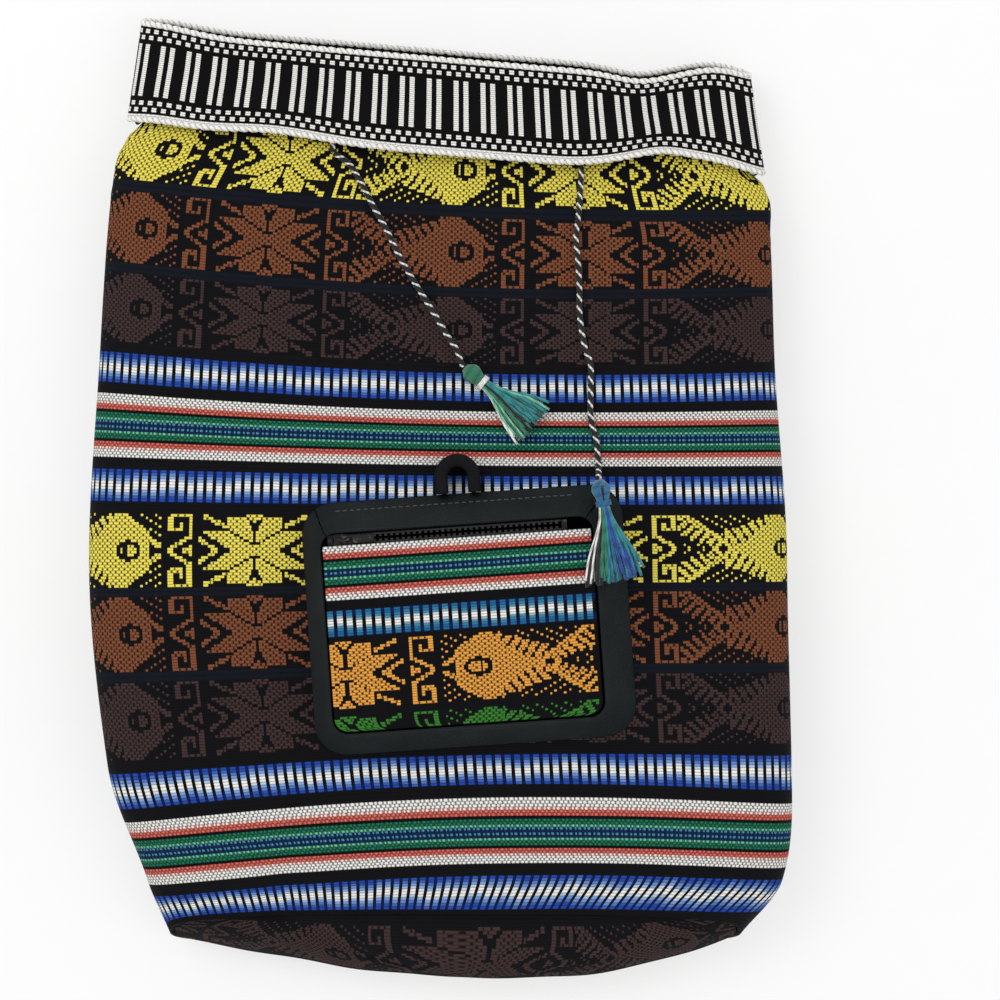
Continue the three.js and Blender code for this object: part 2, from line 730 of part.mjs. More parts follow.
addPart("pouch_loop", inPouch(loopBody), colours.tape);

// Height of what lies under a cord or tassel, raised to clear the edges of the pouch
function restHeight(x, y) {
  const reach = 4;
  const places = [[0, 0], [reach, 0], [-reach, 0], [0, reach], [0, -reach]];
  return Math.max(...places.map(([aside, ahead]) => {
    const place = new THREE.Vector3(x + aside, y + ahead, 0).applyMatrix4(bagToPouch);
    const climb = Math.min(
      (place.x - footSize.left) / panelInsetLeft,
      (footSize.right - place.x) / panelInsetRight,
      (place.y - footSize.bottom) / panelInsetBottom,
      (footSize.top - place.y) / facingRun,
    );
    const onPouch = pouchBase + pouchDepth * Math.min(climb, 1) + facingSwell;
    return Math.max(frontHeight(x, y), climb > 0 ? onPouch : 0);
  }));
}

// Free ends of the drawstring and their tassels
const asCord = ([x, y]) => new THREE.Vector3(x, y, restHeight(x, y) + cordLift + cordEase / 2);
const pastExit = (exit, next) => {
  const start = new THREE.Vector2(...exit);
  const step = new THREE.Vector2(...next).sub(start).setLength(3 * clearance);
  return start.add(step).toArray();
};
cord("drawstring_left", [pastExit(leftExit, leftRoute[0]), ...leftRoute].map(asCord));
cord("drawstring_right", [pastExit(rightExit, rightRoute[0]), ...rightRoute].map(asCord));

function tassel(side, end, { skirtLength, spread, turn }, colour) {
  const heading = THREE.MathUtils.degToRad(turn);
  const direction = new THREE.Vector2(Math.cos(heading), Math.sin(heading));
  const aside = new THREE.Vector2(-direction.y, direction.x);
  const start = clearance + cordDiameter / 4;
  const waist = start + headLength;
  const neckEnd = waist + bindingHeight;
  const tip = neckEnd + skirtLength;
  const restOnAxis = (along) => restHeight(end[0] + direction.x * along, end[1] + direction.y * along);
  const halfWidth = profile([
    [start, cordDiameter / 2],
    [start + headLength * 0.4, headRadius],
    [waist, waistRadius],
    [neckEnd, waistRadius],
    [tip - skirtLength / 3, spread / 2.6],
    [tip, spread / 2],
  ]);
  const halfThickness = profile([
    [start, cordDiameter / 2],
    [start + headLength * 0.4, headRadius],
    [waist, waistRadius],
    [neckEnd, waistRadius],
    [tip - skirtLength / 2, skirtThickness / 2],
    [tip, skirtThickness / 3],
  ]);
  const ringAt = (along, swell, flute, count) => Array.from({ length: count }, (_, step) => {
    const angle = (2 * Math.PI * step) / count;
    const ripple = 1 + flute * (step % 2);
    const out = (halfWidth(along) + swell) * Math.cos(angle) * ripple;
    const x = end[0] + direction.x * along + aside.x * out;
    const y = end[1] + direction.y * along + aside.y * out;
    const drape = THREE.MathUtils.smoothstep(along, neckEnd, tip);
    const sag = Math.max(restHeight(x, y), restOnAxis(along) - skirtThickness / 2);
    const onSkirt = THREE.MathUtils.lerp(restOnAxis(along), sag, drape);
    const onHead = THREE.MathUtils.mapLinear(along, start, neckEnd, restOnAxis(start), restOnAxis(neckEnd));
    const rest = along > neckEnd ? onSkirt : onHead;
    const axisLevel = rest + Math.max(halfThickness(along), waistRadius) + 3 * clearance + bindingThickness;
    return new THREE.Vector3(x, y, axisLevel + (halfThickness(along) + swell) * Math.sin(angle) * ripple);
  });
  const stations = [0, 0.15, 0.4, 0.75, 1].map((share) => start + share * headLength);
  stations.push(neckEnd);
  for (const share of [0.15, 0.35, 0.6, 0.8, 1]) stations.push(neckEnd + share * skirtLength);
  const rings = stations.map((along, place) => ringAt(along, 0, place > 5 ? 0.14 : 0.05, 2 * tasselFlutes));
  addPart(`tassel_${side}_yarns`, loft(rings), colour);
  const bandPoint = (swell) => (u, v) => {
    const along = waist + clearance + v * (bindingHeight - 2 * clearance);
    const ring = ringAt(along, swell + 0.15 * waistRadius, 0, 2 * tasselFlutes);
    return ring[Math.round(u * ring.length) % ring.length];
  };
  const outerBand = bandPoint(clearance + bindingThickness);
  const band = sheet(outerBand, bandPoint(clearance), 2 * tasselFlutes, 2, true);
  addPart(`tassel_${side}_binding`, band, colours.binding);
}
tassel("left", leftRoute[leftRoute.length - 1], leftTassel, colours.greenYarn);
tassel("right", rightRoute[rightRoute.length - 1], rightTassel, colours.blueYarn);

// Shoulder straps flat under the back, bowed out between the collar and the base
function strap(name, side) {
  const startX = (side * strapTopSpacing) / 2;
  const endX = (side * strapFootSpacing) / 2;
  const bowX = (startX + endX) / 2 + side * strapBow;
  const edge = (offset) => {
    const top = collarFoot + slideAlong(collarFoot, startX + offset, -sideSeamShare) - 3 * clearance;
    return new THREE.QuadraticBezierCurve(
      new THREE.Vector2(startX + offset, top),
      new THREE.Vector2(bowX + offset, (top + strapFootRise) / 2),
      new THREE.Vector2(endX + offset, strapFootRise),
    ).getPoints(14);
  };
  const outline = [...edge(-strapWidth / 2), ...edge(strapWidth / 2).reverse()];
  addPart(name, extrude(new THREE.Shape(outline), strapThickness), colours.collar);
}
strap("strap_left", -1);
strap("strap_right", 1);

// Footprint centred on the origin
const held = new THREE.Box3();
for (const mesh of group.children) {
  if (!/drawstring_(left|right)|tassel/.test(mesh.name)) held.expandByObject(mesh);
}
const middle = held.getCenter(new THREE.Vector3());
for (const mesh of group.children) mesh.geometry.translate(-middle.x, -middle.y, -held.min.z);

export default group;
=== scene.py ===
"""Woven drawstring backpack, empty and lying on its back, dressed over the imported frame.

Banded cloth with woven motifs, a black and white collar, twisted drawstrings with tassels, a zipped pouch,
shoulder straps, and the studio it lies in. Shapes are worked out in millimetres, x across the bag, y up from
the base seam and z above the floor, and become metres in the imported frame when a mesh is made.
"""
import logging
from dataclasses import dataclass, field
from enum import Enum

import bpy
import numpy as np
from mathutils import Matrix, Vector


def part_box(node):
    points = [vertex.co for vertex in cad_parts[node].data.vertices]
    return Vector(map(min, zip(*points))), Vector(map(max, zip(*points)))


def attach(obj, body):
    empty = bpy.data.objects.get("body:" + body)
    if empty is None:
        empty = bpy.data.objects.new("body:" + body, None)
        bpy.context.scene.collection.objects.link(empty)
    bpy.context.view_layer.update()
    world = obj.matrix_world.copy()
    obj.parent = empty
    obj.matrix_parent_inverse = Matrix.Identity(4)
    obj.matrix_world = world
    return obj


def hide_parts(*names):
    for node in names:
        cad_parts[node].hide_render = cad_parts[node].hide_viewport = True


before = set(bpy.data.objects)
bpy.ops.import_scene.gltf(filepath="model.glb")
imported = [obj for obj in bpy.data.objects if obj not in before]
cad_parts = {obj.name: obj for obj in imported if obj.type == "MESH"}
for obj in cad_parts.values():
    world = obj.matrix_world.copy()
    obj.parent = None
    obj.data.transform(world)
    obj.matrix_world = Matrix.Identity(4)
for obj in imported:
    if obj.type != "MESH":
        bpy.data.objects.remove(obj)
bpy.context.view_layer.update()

LOG = logging.getLogger("backpack")
Array = np.ndarray
Pair = tuple[float, float]
Spot = tuple[float, float, float]
Colour = Spot
Piece = bpy.types.Object
Material = bpy.types.Material
# Corners of a grid's cell, by row and column
CORNERS = ((0, 0), (0, 1), (1, 1), (1, 0))
# How far the base's middle lies to the right of the bag's axis
BASE_ASIDE = 4.5


def srgb(red: float, green: float, blue: float) -> Colour:
    """Linear colour of a display colour given from 0 to 255."""
    shown = np.array([red, green, blue]) / 255
    linear = np.where(shown <= 0.04045, shown / 12.92, ((shown + 0.055) / 1.055) ** 2.4)
    return tuple(float(part) for part in linear)


class Dye(Enum):
    """Colours of the yarns."""

    GROUND = srgb(13, 13, 17)
    INDIGO = srgb(17, 20, 30)
    YELLOW = srgb(243, 226, 92)
    RUST = srgb(130, 77, 50)
    MAUVE = srgb(67, 50, 49)
    BLUE = srgb(32, 74, 168)
    SKY = srgb(132, 172, 226)
    NAVY = srgb(14, 28, 84)
    TEAL = srgb(28, 104, 150)
    WHITE = srgb(247, 245, 240)
    RED = srgb(188, 66, 56)
    SALMON = srgb(216, 122, 108)
    GREEN = srgb(36, 124, 92)
    MINT = srgb(124, 196, 164)
    PINE = srgb(14, 80, 60)
    TURQUOISE = srgb(22, 140, 142)
    DEEP = srgb(10, 40, 78)
    POOL = srgb(78, 146, 176)
    ORANGE = srgb(236, 164, 70)
    LEAF = srgb(58, 128, 48)
    BLACK = srgb(9, 9, 11)
    GREY = srgb(26, 30, 31)


def smoothstep(value: Array, low: float, high: float) -> Array:
    """Smooth climb from 0 at low to 1 at high, 3t squared less 2t cubed."""
    t = np.clip((value - low) / (high - low), 0, 1)
    return t * t * (3 - 2 * t)


def unit(vectors: Array) -> Array:
    """The same directions with length 1."""
    return vectors / np.maximum(np.linalg.norm(vectors, axis=-1, keepdims=True), 1e-9)


class Profile:
    """Smooth curve through stations of (place, value) that never swings past them.

    Cubic between stations; the slope at a station is the harmonic mean of the rates on its two sides, or
    nothing where they differ in sign.
    """

    def __init__(self, stations: object) -> None:
        """Works out the slopes at the stations."""
        table = np.array(stations, float)
        self.place, self.value = table[:, 0], table[:, 1]
        rate = np.diff(self.value) / np.diff(self.place)
        before, after = rate[:-1], rate[1:]
        both = np.where(before + after == 0, 1, before + after)
        inner = np.where(before * after > 0, 2 * before * after / both, 0)
        self.slope = np.concatenate([rate[:1], inner, rate[-1:]])

    def __call__(self, place: Array) -> Array:
        """Value of the curve at each place, held at the ends."""
        held = np.clip(place, self.place[0], self.place[-1])
        index = np.clip(np.searchsorted(self.place, held) - 1, 0, len(self.place) - 2)
        span = self.place[index + 1] - self.place[index]
        t = (held - self.place[index]) / span
        rest = 1 - t
        ends = self.value[index] * (1 + 2 * t) * rest * rest + self.value[index + 1] * (3 - 2 * t) * t * t
        return ends + span * (self.slope[index] * t * rest * rest - self.slope[index + 1] * t * t * rest)


def run_along(line: Array) -> Array:
    """Length of a line of points from its first point to each."""
    return np.concatenate([[0], np.cumsum(np.linalg.norm(np.diff(line, axis=0), axis=1))])


def smooth_path(points: object, spacing: float) -> Array:
    """Smooth line through points, parted into equal steps.

    A centripetal Catmull-Rom curve: each piece blends four neighbouring points, with knots a square root of
    the distance apart.

    Args:
        points: The points that the line passes through.
        spacing: Length of a step, about.

    Returns:
        Points along the line, one row each.
    """
    base = np.asarray(points, float)
    held = np.vstack([2 * base[0] - base[1], base, 2 * base[-1] - base[-2]])
    gap = np.sqrt(np.linalg.norm(np.diff(held, axis=0), axis=1))
    knot = np.concatenate([[0], np.cumsum(gap)])
    t = knot[1:-2, None] + np.linspace(0, 1, 24, endpoint=False)[None] * gap[1:-1, None]

    def blend(one: Array, two: Array, first: int, last: int) -> Array:
        """Point between two, by where t lies between two of the four knots."""
        from_knot, to_knot = knot[first:len(knot) - 3 + first, None], knot[last:len(knot) - 3 + last, None]
        share = ((t - from_knot) / (to_knot - from_knot))[..., None]
        return one * (1 - share) + two * share

    corner = [held[place:len(held) - 3 + place, None] for place in range(4)]
    near = [blend(corner[place], corner[place + 1], place, place + 1) for place in range(3)]
    mid = [blend(near[0], near[1], 0, 2), blend(near[1], near[2], 1, 3)]
    line = np.vstack([blend(mid[0], mid[1], 1, 2).reshape(-1, 3), base[-1:]])
    run = run_along(line)
    even = np.linspace(0, run[-1], max(int(round(run[-1] / spacing)), 2) + 1)
    return np.stack([np.interp(even, run, line[:, axis]) for axis in range(3)], -1)


def path_length(path: Array) -> float:
    """Length of a line of points."""
    return float(np.linalg.norm(np.diff(path, axis=0), axis=1).sum())


def frames(path: Array, closed: bool = False) -> tuple[Array, Array]:
    """Directions across a path: level to its right, and upright to both.

    Args:
        path: Points along the path.
        closed: True where the last point leads back to the first.

    Returns:
        The sideways and the upward direction at each point.
    """
    ahead = np.roll(path, -1, 0) - np.roll(path, 1, 0) if closed else np.gradient(path, axis=0)
    ahead = unit(ahead)
    side = unit(np.cross(ahead, (0.0, 0.0, 1.0)))
    return side, np.cross(side, ahead)


def carried(path: Array, section: Array, closed: bool = False, size: object = 1.0) -> Array:
    """A section carried along a path: each point is the path's plus section x sideways and section y upward.

    Args:
        path: Points along the path.
        section: Points of the section, sideways and upward.
        closed: True where the path is a ring.
        size: Size of the section, one for all or one for each point of the path.

    Returns:
        Rings of points, one for each point of the path.
    """
    side, lift = frames(path, closed)
    scale = np.broadcast_to(np.asarray(size, float), (len(path),))[:, None, None]
    across = section[None, :, :1] * side[:, None] + section[None, :, 1:] * lift[:, None]
    return path[:, None] + scale * across


def circle(sides: int, radius: float = 1.0) -> Array:
    """Points of a circle, sideways and upward."""
    turn = np.arange(sides) * 2 * np.pi / sides
    return radius * np.stack([np.cos(turn), np.sin(turn)], -1)


class Value:
    """A number in a shader graph; arithmetic on it adds Math nodes."""

    def __init__(self, graph: "Graph", socket: bpy.types.NodeSocket) -> None:
        """Wraps an output socket."""
        self.graph = graph
        self.socket = socket

    def also(self, name: str) -> "Value":
        """Another output of the same node."""
        return Value(self.graph, self.socket.node.outputs[name])

    def math(self, operation: str, *others: "Value | float") -> "Value":
        """This number and others through one Math node."""
        return self.graph.node("ShaderNodeMath", {"operation": operation}, dict(enumerate((self, *others))))

    def __add__(self, other: "Value | float") -> "Value":
        """Sum."""
        return self.math("ADD", other)

    def __sub__(self, other: "Value | float") -> "Value":
        """Difference."""
        return self.math("SUBTRACT", other)

    def __rsub__(self, other: float) -> "Value":
        """Difference from a plain number."""
        return self.graph.node("ShaderNodeMath", {"operation": "SUBTRACT"}, {0: other, 1: self})

    def __mul__(self, other: "Value | float") -> "Value":
        """Product."""
        return self.math("MULTIPLY", other)

    __radd__ = __add__
    __rmul__ = __mul__

    def fraction(self) -> "Value":
        """Part after the point."""
        return self.math("FRACT")

    def edge(self) -> "Value":
        """0 in the middle of each whole step and 1 at its ends."""
        return (self.fraction() * 2 - 1).math("ABSOLUTE")

    def smooth(self, low: float, high: float) -> "Value":
        """Smooth climb from 0 at low to 1 at high."""
        return self.graph.node(
            "ShaderNodeMapRange", {"interpolation_type": "SMOOTHSTEP"}, {0: self, 1: low, 2: high})


class Graph:
    """Nodes of one material, ending in a Principled shader."""

    def __init__(self, name: str) -> None:
        """Starts a material with its shader and output."""
        self.material = bpy.data.materials.new(name)
        self.material.use_nodes = True
        self.tree = self.material.node_tree
        self.tree.nodes.clear()
        self.shader = self.tree.nodes.new("ShaderNodeBsdfPrincipled")
        self.output = self.tree.nodes.new("ShaderNodeOutputMaterial")
        self.tree.links.new(self.shader.outputs[0], self.output.inputs[0])

    def feed(self, socket: bpy.types.NodeSocket, value: object) -> None:
        """Links a value to a socket, or sets the socket."""
        if isinstance(value, Value):
            self.tree.links.new(value.socket, socket)
        elif isinstance(value, tuple) and len(value) == 3 and socket.type == "RGBA":
            socket.default_value = (*value, 1.0)
        else:
            socket.default_value = value

    def node(self, kind: str, settings: dict | None = None, inputs: dict | None = None) -> Value:
        """Adds a node.

        Args:
            kind: The node's type.
            settings: Its properties, set first.
            inputs: Values or links for its sockets, by name or place.

        Returns:
            Its first output.
        """
        made = self.tree.nodes.new(kind)
        for name, value in (settings or {}).items():
            setattr(made, name, value)
        for name, value in (inputs or {}).items():
            self.feed(made.inputs[name], value)
        return Value(self, made.outputs[0])

    def mix(self, share: Value, low: object, high: object) -> Value:
        """Colour between two, low where share is 0 and high where it is 1."""
        settings = {"data_type": "RGBA", "clamp_factor": True}
        made = self.node("ShaderNodeMix", settings, {0: share, 6: low, 7: high})
        return Value(self, made.socket.node.outputs[2])

    def weave(self) -> tuple[Value, Value]:
        """Weave coordinates of the piece, across and along."""
        cell = self.node("ShaderNodeSeparateXYZ", None, {0: self.node("ShaderNodeUVMap", {"uv_map": "weave"})})
        return cell, cell.also("Y")

    def attribute(self, name: str) -> Value:
        """Colour that the piece's mesh holds under a name."""
        return self.node("ShaderNodeAttribute", {"attribute_name": name})

    def noise(self, scale: float, detail: float = 2.0) -> Value:
        """Soft noise from 0 to 1 through the object's space, with scale in spots a metre."""
        place = self.node("ShaderNodeTexCoord").also("Object")
        return self.node("ShaderNodeTexNoise", None, {"Vector": place, "Scale": scale, "Detail": detail})

    def dress(self, relief: Value | None = None, distance: float = 0.0003, **sockets: object) -> Material:
        """Feeds the shader.

        Args:
            relief: Height for the bump, from 0 to 1, or None.
            distance: Height of the bump in metres.
            sockets: Values or links for the shader's sockets, with _ for a space.

        Returns:
            The material.
        """
        for name, value in sockets.items():
            self.feed(self.shader.inputs[name.replace("_", " ")], value)
        if relief is not None:
            bump = self.node("ShaderNodeBump", None, {"Strength": 1.0, "Distance": distance, "Height": relief})
            self.feed(self.shader.inputs["Normal"], bump)
        return self.material


@dataclass(frozen=True)
class ClothFinish:
    """Woven cloth whose cells hold their yarn's colour: floats tied down at their ends, twill specks, dots, and painted
    shade darkening the edges of each row of weft.
    """

    name: str
    ground: Colour = Dye.GROUND.value
    tie: float = 0.95
    # Painted shade: how far the edges of each row of weft are darkened toward black, where the rows meet
    row_edge_shade: float = 0.42
    float_cells: float = 2.75

    def material(self) -> Material:
        """Material that draws the threads of each cell from the weave coordinates."""
        graph = Graph(self.name)
        u, v = graph.weave()
        yarn = graph.attribute("yarn")
        lay = graph.node("ShaderNodeSeparateColor", None, {0: graph.attribute("lay")})
        floats, twill, dots = lay, lay.also("Green"), lay.also("Blue")
        odd = v.math("FLOOR").math("FLOORED_MODULO", 2.0) * 0.5
        float_end = (u * (1 / self.float_cells) + odd).edge()
        twill_end = (u * 0.5 + odd).edge()
        row = v.edge()
        knot = float_end.smooth(0.55, 0.85) * (1 - row.smooth(0.5, 1.0))
        tie = floats * knot + twill * twill_end.smooth(0.35, 0.9)
        dot = (u.edge() * u.edge() + row * row).smooth(0.7, 1.3) * dots
        fibre = graph.noise(1400.0)
        cover = (1 - dot) * (1 - tie * self.tie)
        # Painted shade toward black along the edges of each row of weft, where the rows meet, plus random fibre tone
        shade = row.smooth(0.4, 1.0) * self.row_edge_shade + (fibre - 0.5) * 0.6
        colour = graph.mix(cover, self.ground, yarn)
        colour = graph.mix(shade, colour, Dye.BLACK.value)
        relief = (1 - row * row) * 0.5 + (1 - float_end * float_end) * floats * 0.5 + fibre * 0.15
        return graph.dress(relief, 0.0006, Base_Color=colour, Roughness=0.9, Specular_IOR_Level=0.12)


@dataclass(frozen=True)
class YarnFinish:
    """Spun yarn that holds its colour in the mesh, with fine slanting fibres along it, darkened toward black between
    the fibres as painted shade.
    """

    name: str
    slant: float = 0.5
    sheen: float = 0.2

    def material(self) -> Material:
        """Material with the fibres wound round the strand by the weave coordinates."""
        graph = Graph(self.name)
        u, v = graph.weave()
        fibre = (u * self.slant + v * 0.45).edge()
        fuzz = graph.noise(2600.0)
        # Painted shade toward black in the grooves between the slanting fibres, plus random fuzz tone
        shade = fibre.smooth(0.3, 1.0) * 0.42 + (fuzz - 0.5) * 0.35
        colour = graph.mix(shade, graph.attribute("yarn"), Dye.BLACK.value)
        relief = (1 - fibre * fibre) * 0.7 + fuzz * 0.3
        return graph.dress(relief, 0.00025, Base_Color=colour, Roughness=0.82, Sheen_Weight=self.sheen)


@dataclass(frozen=True)
class CanvasFinish:
    """Plain-woven cotton or tape of one colour, with its threads over and under, the crowns of its threads painted
    paler as highlight, and slight fading.
    """

    name: str
    colour: Colour
    pitch: float = 0.55
    fade: float = 0.35

    def material(self) -> Material:
        """Material with a plain weave of the given pitch, in millimetres, on the piece's own coordinates."""
        graph = Graph(self.name)
        u, v = (part * (1 / self.pitch) for part in graph.weave())
        over = (u.math("FLOOR") + v.math("FLOOR")).math("FLOORED_MODULO", 2.0)
        thread = over * (1 - u.edge() * u.edge()) + (1 - over) * (1 - v.edge() * v.edge())
        worn = graph.noise(45.0, 4.0)
        fibre = graph.noise(1800.0)
        pale = tuple(min(part * 2.6 + 0.006, 1.0) for part in self.colour)
        # Paler toward the crowns of the threads as painted highlight, paler in worn patches as fading, with random
        # fibre tone
        colour = graph.mix(worn.smooth(0.35, 0.8) * self.fade + thread * 0.25 + (fibre - 0.5) * 0.2, self.colour, pale)
        return graph.dress(thread + fibre * 0.4, 0.0002, Base_Color=colour, Roughness=0.92, Specular_IOR_Level=0.15)


@dataclass(frozen=True)
class HardFinish:
    """Moulded nylon or blackened metal, with fine scratches and rubbed spots."""

    name: str
    colour: Colour
    rubbed: Colour
    metallic: float
    roughness: float

    def material(self) -> Material:
        """Material with rubbed spots in colour and roughness."""
        graph = Graph(self.name)
        rub = graph.noise(420.0, 4.0).smooth(0.5, 0.75)
        grain = graph.noise(2500.0)
        return graph.dress(
            grain, 0.00006, Base_Color=graph.mix(rub, self.colour, self.rubbed), Metallic=self.metallic,
            Roughness=self.roughness + (grain - 0.5) * 0.3 - rub * 0.12)


def weave_cells(row: Array, column: Array, scale: Pair) -> Array:
    """Weave coordinates of each cell's corners, from its row and column."""
    cells = np.stack([np.stack([(column + b) * scale[0], (row + a) * scale[1]], -1) for a, b in CORNERS], 2)
    return cells.reshape(-1, 4, 2).astype(float)


@dataclass
class Sculpt:
    """Gathers the faces of one piece, with a yarn colour and a way of lying for each face."""

    points: list[Array] = field(default_factory=list)
    faces: list[tuple[Array, Array, Array, Array]] = field(default_factory=list)
    spread: list[Array] = field(default_factory=list)
    count: int = 0

    def _points(self, points: Array) -> int:
        """Adds points and returns the place of the first."""
        start = self.count
        self.points.append(points.reshape(-1, 3))
        self.count += len(self.points[-1])
        return start

    def _faces(self, found: list[tuple[Array, Array, object, object]], spread: list[Array] | None = None) -> None:
        """Adds the faces of one closed body, turned so that they face outward.

        Args:
            found: Corner places, weave coordinates, colours and ways of lying of each group of faces.
            spread: Places of the same corners on a flat square, for cloth that is laid out flat.
        """
        every = np.vstack(self.points)
        volume = 0.0
        for index, _, _, _ in found:
            first = every[index[:, 0]]
            for place in range(1, index.shape[1] - 1):
                crossed = np.cross(every[index[:, place]], every[index[:, place + 1]])
                volume += float(np.einsum("ij,ij->", first, crossed))
        step = 1 if volume > 0 else -1
        for index, cell, colour, lay in found:
            size = len(index)
            shades = np.broadcast_to(np.asarray(colour, float).reshape(-1, 3), (size, 3))
            lays = np.broadcast_to(np.asarray(lay, float).reshape(-1, 3), (size, 3))
            self.faces.append((index[:, ::step], cell[:, ::step], shades, lays))
        self.spread += [corners[:, ::step] for corners in spread or []]

    def shell(self, outer: Array, inner: Array, colour: object, lay: object = (0.0, 0.0, 0.0),
              lining: Colour = Dye.GROUND.value, ring: bool = False, scale: Pair = (1.0, 1.0)) -> None:
        """Closed cloth between a fine outer grid and an inner grid that may be coarser.

        Each inner step spans a whole number of outer steps, and along the edges one face joins them.

        Args:
            outer: Outer points, by row and column.
            inner: Inner points, by row and column.
            colour: Yarn colour of each outer cell, or one for all.
            lay: Way of lying of each outer cell, or one for all.
            lining: Colour of the inside and the edges.
            ring: True where the last column leads back to the first.
            scale: Weave coordinates for each column and each row.
        """
        width, narrow = outer.shape[1], inner.shape[1]
        rows, columns = outer.shape[0] - 1, width - (0 if ring else 1)
        few, less = inner.shape[0] - 1, narrow - (0 if ring else 1)
        down, along = rows // few, columns // less
        base, deep = self._points(outer), self._points(inner)

        def over(row: Array, column: Array) -> Array:
            """Place of an outer point."""
            return base + row * width + column % width

        def under(row: Array, column: Array) -> Array:
            """Place of an inner point."""
            return deep + row * narrow + column % narrow

        row, column = np.meshgrid(np.arange(rows), np.arange(columns), indexing="ij")
        quads = np.stack([over(row + a, column + b) for a, b in CORNERS], -1).reshape(-1, 4)
        cells = weave_cells(row, column, scale)
        found = [(quads, cells, colour, lay)]
        row, column = np.meshgrid(np.arange(few), np.arange(less), indexing="ij")
        plain = [np.stack([under(row + a, column + b) for a, b in CORNERS[::-1]], -1).reshape(-1, 4)]
        part = np.arange(less)[:, None]
        steps = part * along + np.arange(along + 1)[None]
        plain.append(np.hstack([over(0, steps[:, ::-1]), under(0, part), under(0, part + 1)]))
        plain.append(np.hstack([over(rows, steps), under(few, part + 1), under(few, part)]))
        if not ring:
            part = np.arange(few)[:, None]
            steps = part * down + np.arange(down + 1)[None]
            plain.append(np.hstack([over(steps, 0), under(part + 1, 0), under(part, 0)]))
            plain.append(np.hstack([over(steps[:, ::-1], columns), under(part, less), under(part + 1, less)]))
        every = np.vstack(self.points)
        size = np.array([columns, rows]) * np.array(scale)
        spread = [cells / size * (1.0, 0.92) + (0.0, 0.08)]
        low, high = every.min(0), every.max(0)
        for index in plain:
            found.append((index, every[index][..., :2], lining, (0.0, 0.0, 0.0)))
            spread.append((every[index] - low)[..., :2] / (high - low)[:2] * (1.0, 0.07))
        self._faces(found, spread)

    def tube(self, rings: Array, colour: object, closed: bool = False, scale: Pair = (1.0, 1.0)) -> None:
        """Closed body through rings of points, its ends capped or joined.

        Args:
            rings: Points, by ring and place round it.
            colour: Yarn colour.
            closed: True where the last ring leads back to the first.
            scale: Weave coordinates for each step round and along it.
        """
        count, sides = rings.shape[:2]
        base = self._points(rings)
        spans = count if closed else count - 1
        row, column = np.meshgrid(np.arange(spans), np.arange(sides), indexing="ij")
        quads = np.stack([base + (row + a) % count * sides + (column + b) % sides for a, b in CORNERS], -1)
        lay = (0.0, 0.0, 0.0)
        found = [(quads.reshape(-1, 4), weave_cells(row, column, scale), colour, lay)]
        if not closed:
            first = base + np.arange(sides)[None, ::-1]
            last = base + (count - 1) * sides + np.arange(sides)[None]
            blank = np.zeros((1, sides, 2))
            found += [(first, blank, colour, lay), (last, blank, colour, lay)]
        self._faces(found)

    def piece(self, name: str, material: Material, slot: str, nodes: tuple[str, ...] = (),
              body: str = "bag") -> Piece:
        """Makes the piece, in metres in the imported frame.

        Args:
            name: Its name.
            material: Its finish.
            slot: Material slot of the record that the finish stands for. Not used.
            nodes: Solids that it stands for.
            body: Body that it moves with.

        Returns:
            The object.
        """
        mesh = bpy.data.meshes.new(name)
        points = (np.vstack(self.points) + model_offset()) * 0.001
        loops = np.concatenate([index.ravel() for index, _, _, _ in self.faces])
        sizes = np.concatenate([np.full(len(index), index.shape[1]) for index, _, _, _ in self.faces])
        mesh.vertices.add(len(points))
        mesh.vertices.foreach_set("co", points.astype(np.float32).ravel())
        mesh.loops.add(len(loops))
        mesh.loops.foreach_set("vertex_index", loops.astype(np.int32))
        mesh.polygons.add(len(sizes))
        starts = np.concatenate([[0], np.cumsum(sizes)[:-1]])
        mesh.polygons.foreach_set("loop_start", starts.astype(np.int32))
        mesh.polygons.foreach_set("use_smooth", np.ones(len(sizes), bool))
        mesh.update(calc_edges=True)
        cells = np.concatenate([cell.reshape(-1, 2) for _, cell, _, _ in self.faces])
        mesh.uv_layers.new(name="weave").uv.foreach_set("vector", cells.astype(np.float32).ravel())
        if self.spread and len(self.spread) == len(self.faces):
            flat = np.concatenate([corners.reshape(-1, 2) for corners in self.spread])
            mesh.uv_layers.new(name="OFBake").uv.foreach_set("vector", flat.astype(np.float32).ravel())
        for key, place in (("yarn", 2), ("lay", 3)):
            held = np.concatenate([group[place] for group in self.faces])
            full = np.hstack([held, np.ones((len(held), 1))]).astype(np.float32)
            mesh.attributes.new(key, "FLOAT_COLOR", "FACE").data.foreach_set("color", full.ravel())
        mesh.materials.append(material)
        made = bpy.data.objects.new(name, mesh)
        bpy.context.scene.collection.objects.link(made)
        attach(made, body)
        if nodes:
            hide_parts(*nodes)
        LOG.info("%s: %d faces, for %s", name, len(sizes), ", ".join(nodes) or "nothing in the frame")
        return made


def model_offset() -> Array:
    """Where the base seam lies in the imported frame, in millimetres: across from the base, along from the front."""
    low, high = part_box("bag_base")
    seam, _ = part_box("bag_front")
    return np.array([(low.x + high.x) * 500 - BASE_ASIDE, seam.y * 1000, 0.0])


@dataclass(frozen=True)
class Crease:
    """A fold of the front cloth: its middle, direction in degrees, length, width and height."""

    x: float
    rise: float
    turn: float
    length: float
    width: float
    height: float

    def level(self, x: Array, rise: Array) -> Array:
        """Height of the fold: its height times a bell along and a bell across its direction."""
        turn = np.radians(self.turn)
        along = (x - self.x) * np.cos(turn) + (rise - self.rise) * np.sin(turn)
        across = (rise - self.rise) * np.cos(turn) - (x - self.x) * np.sin(turn)
        return self.height * np.exp(-((along / self.length) ** 2) - (across / self.width) ** 2)


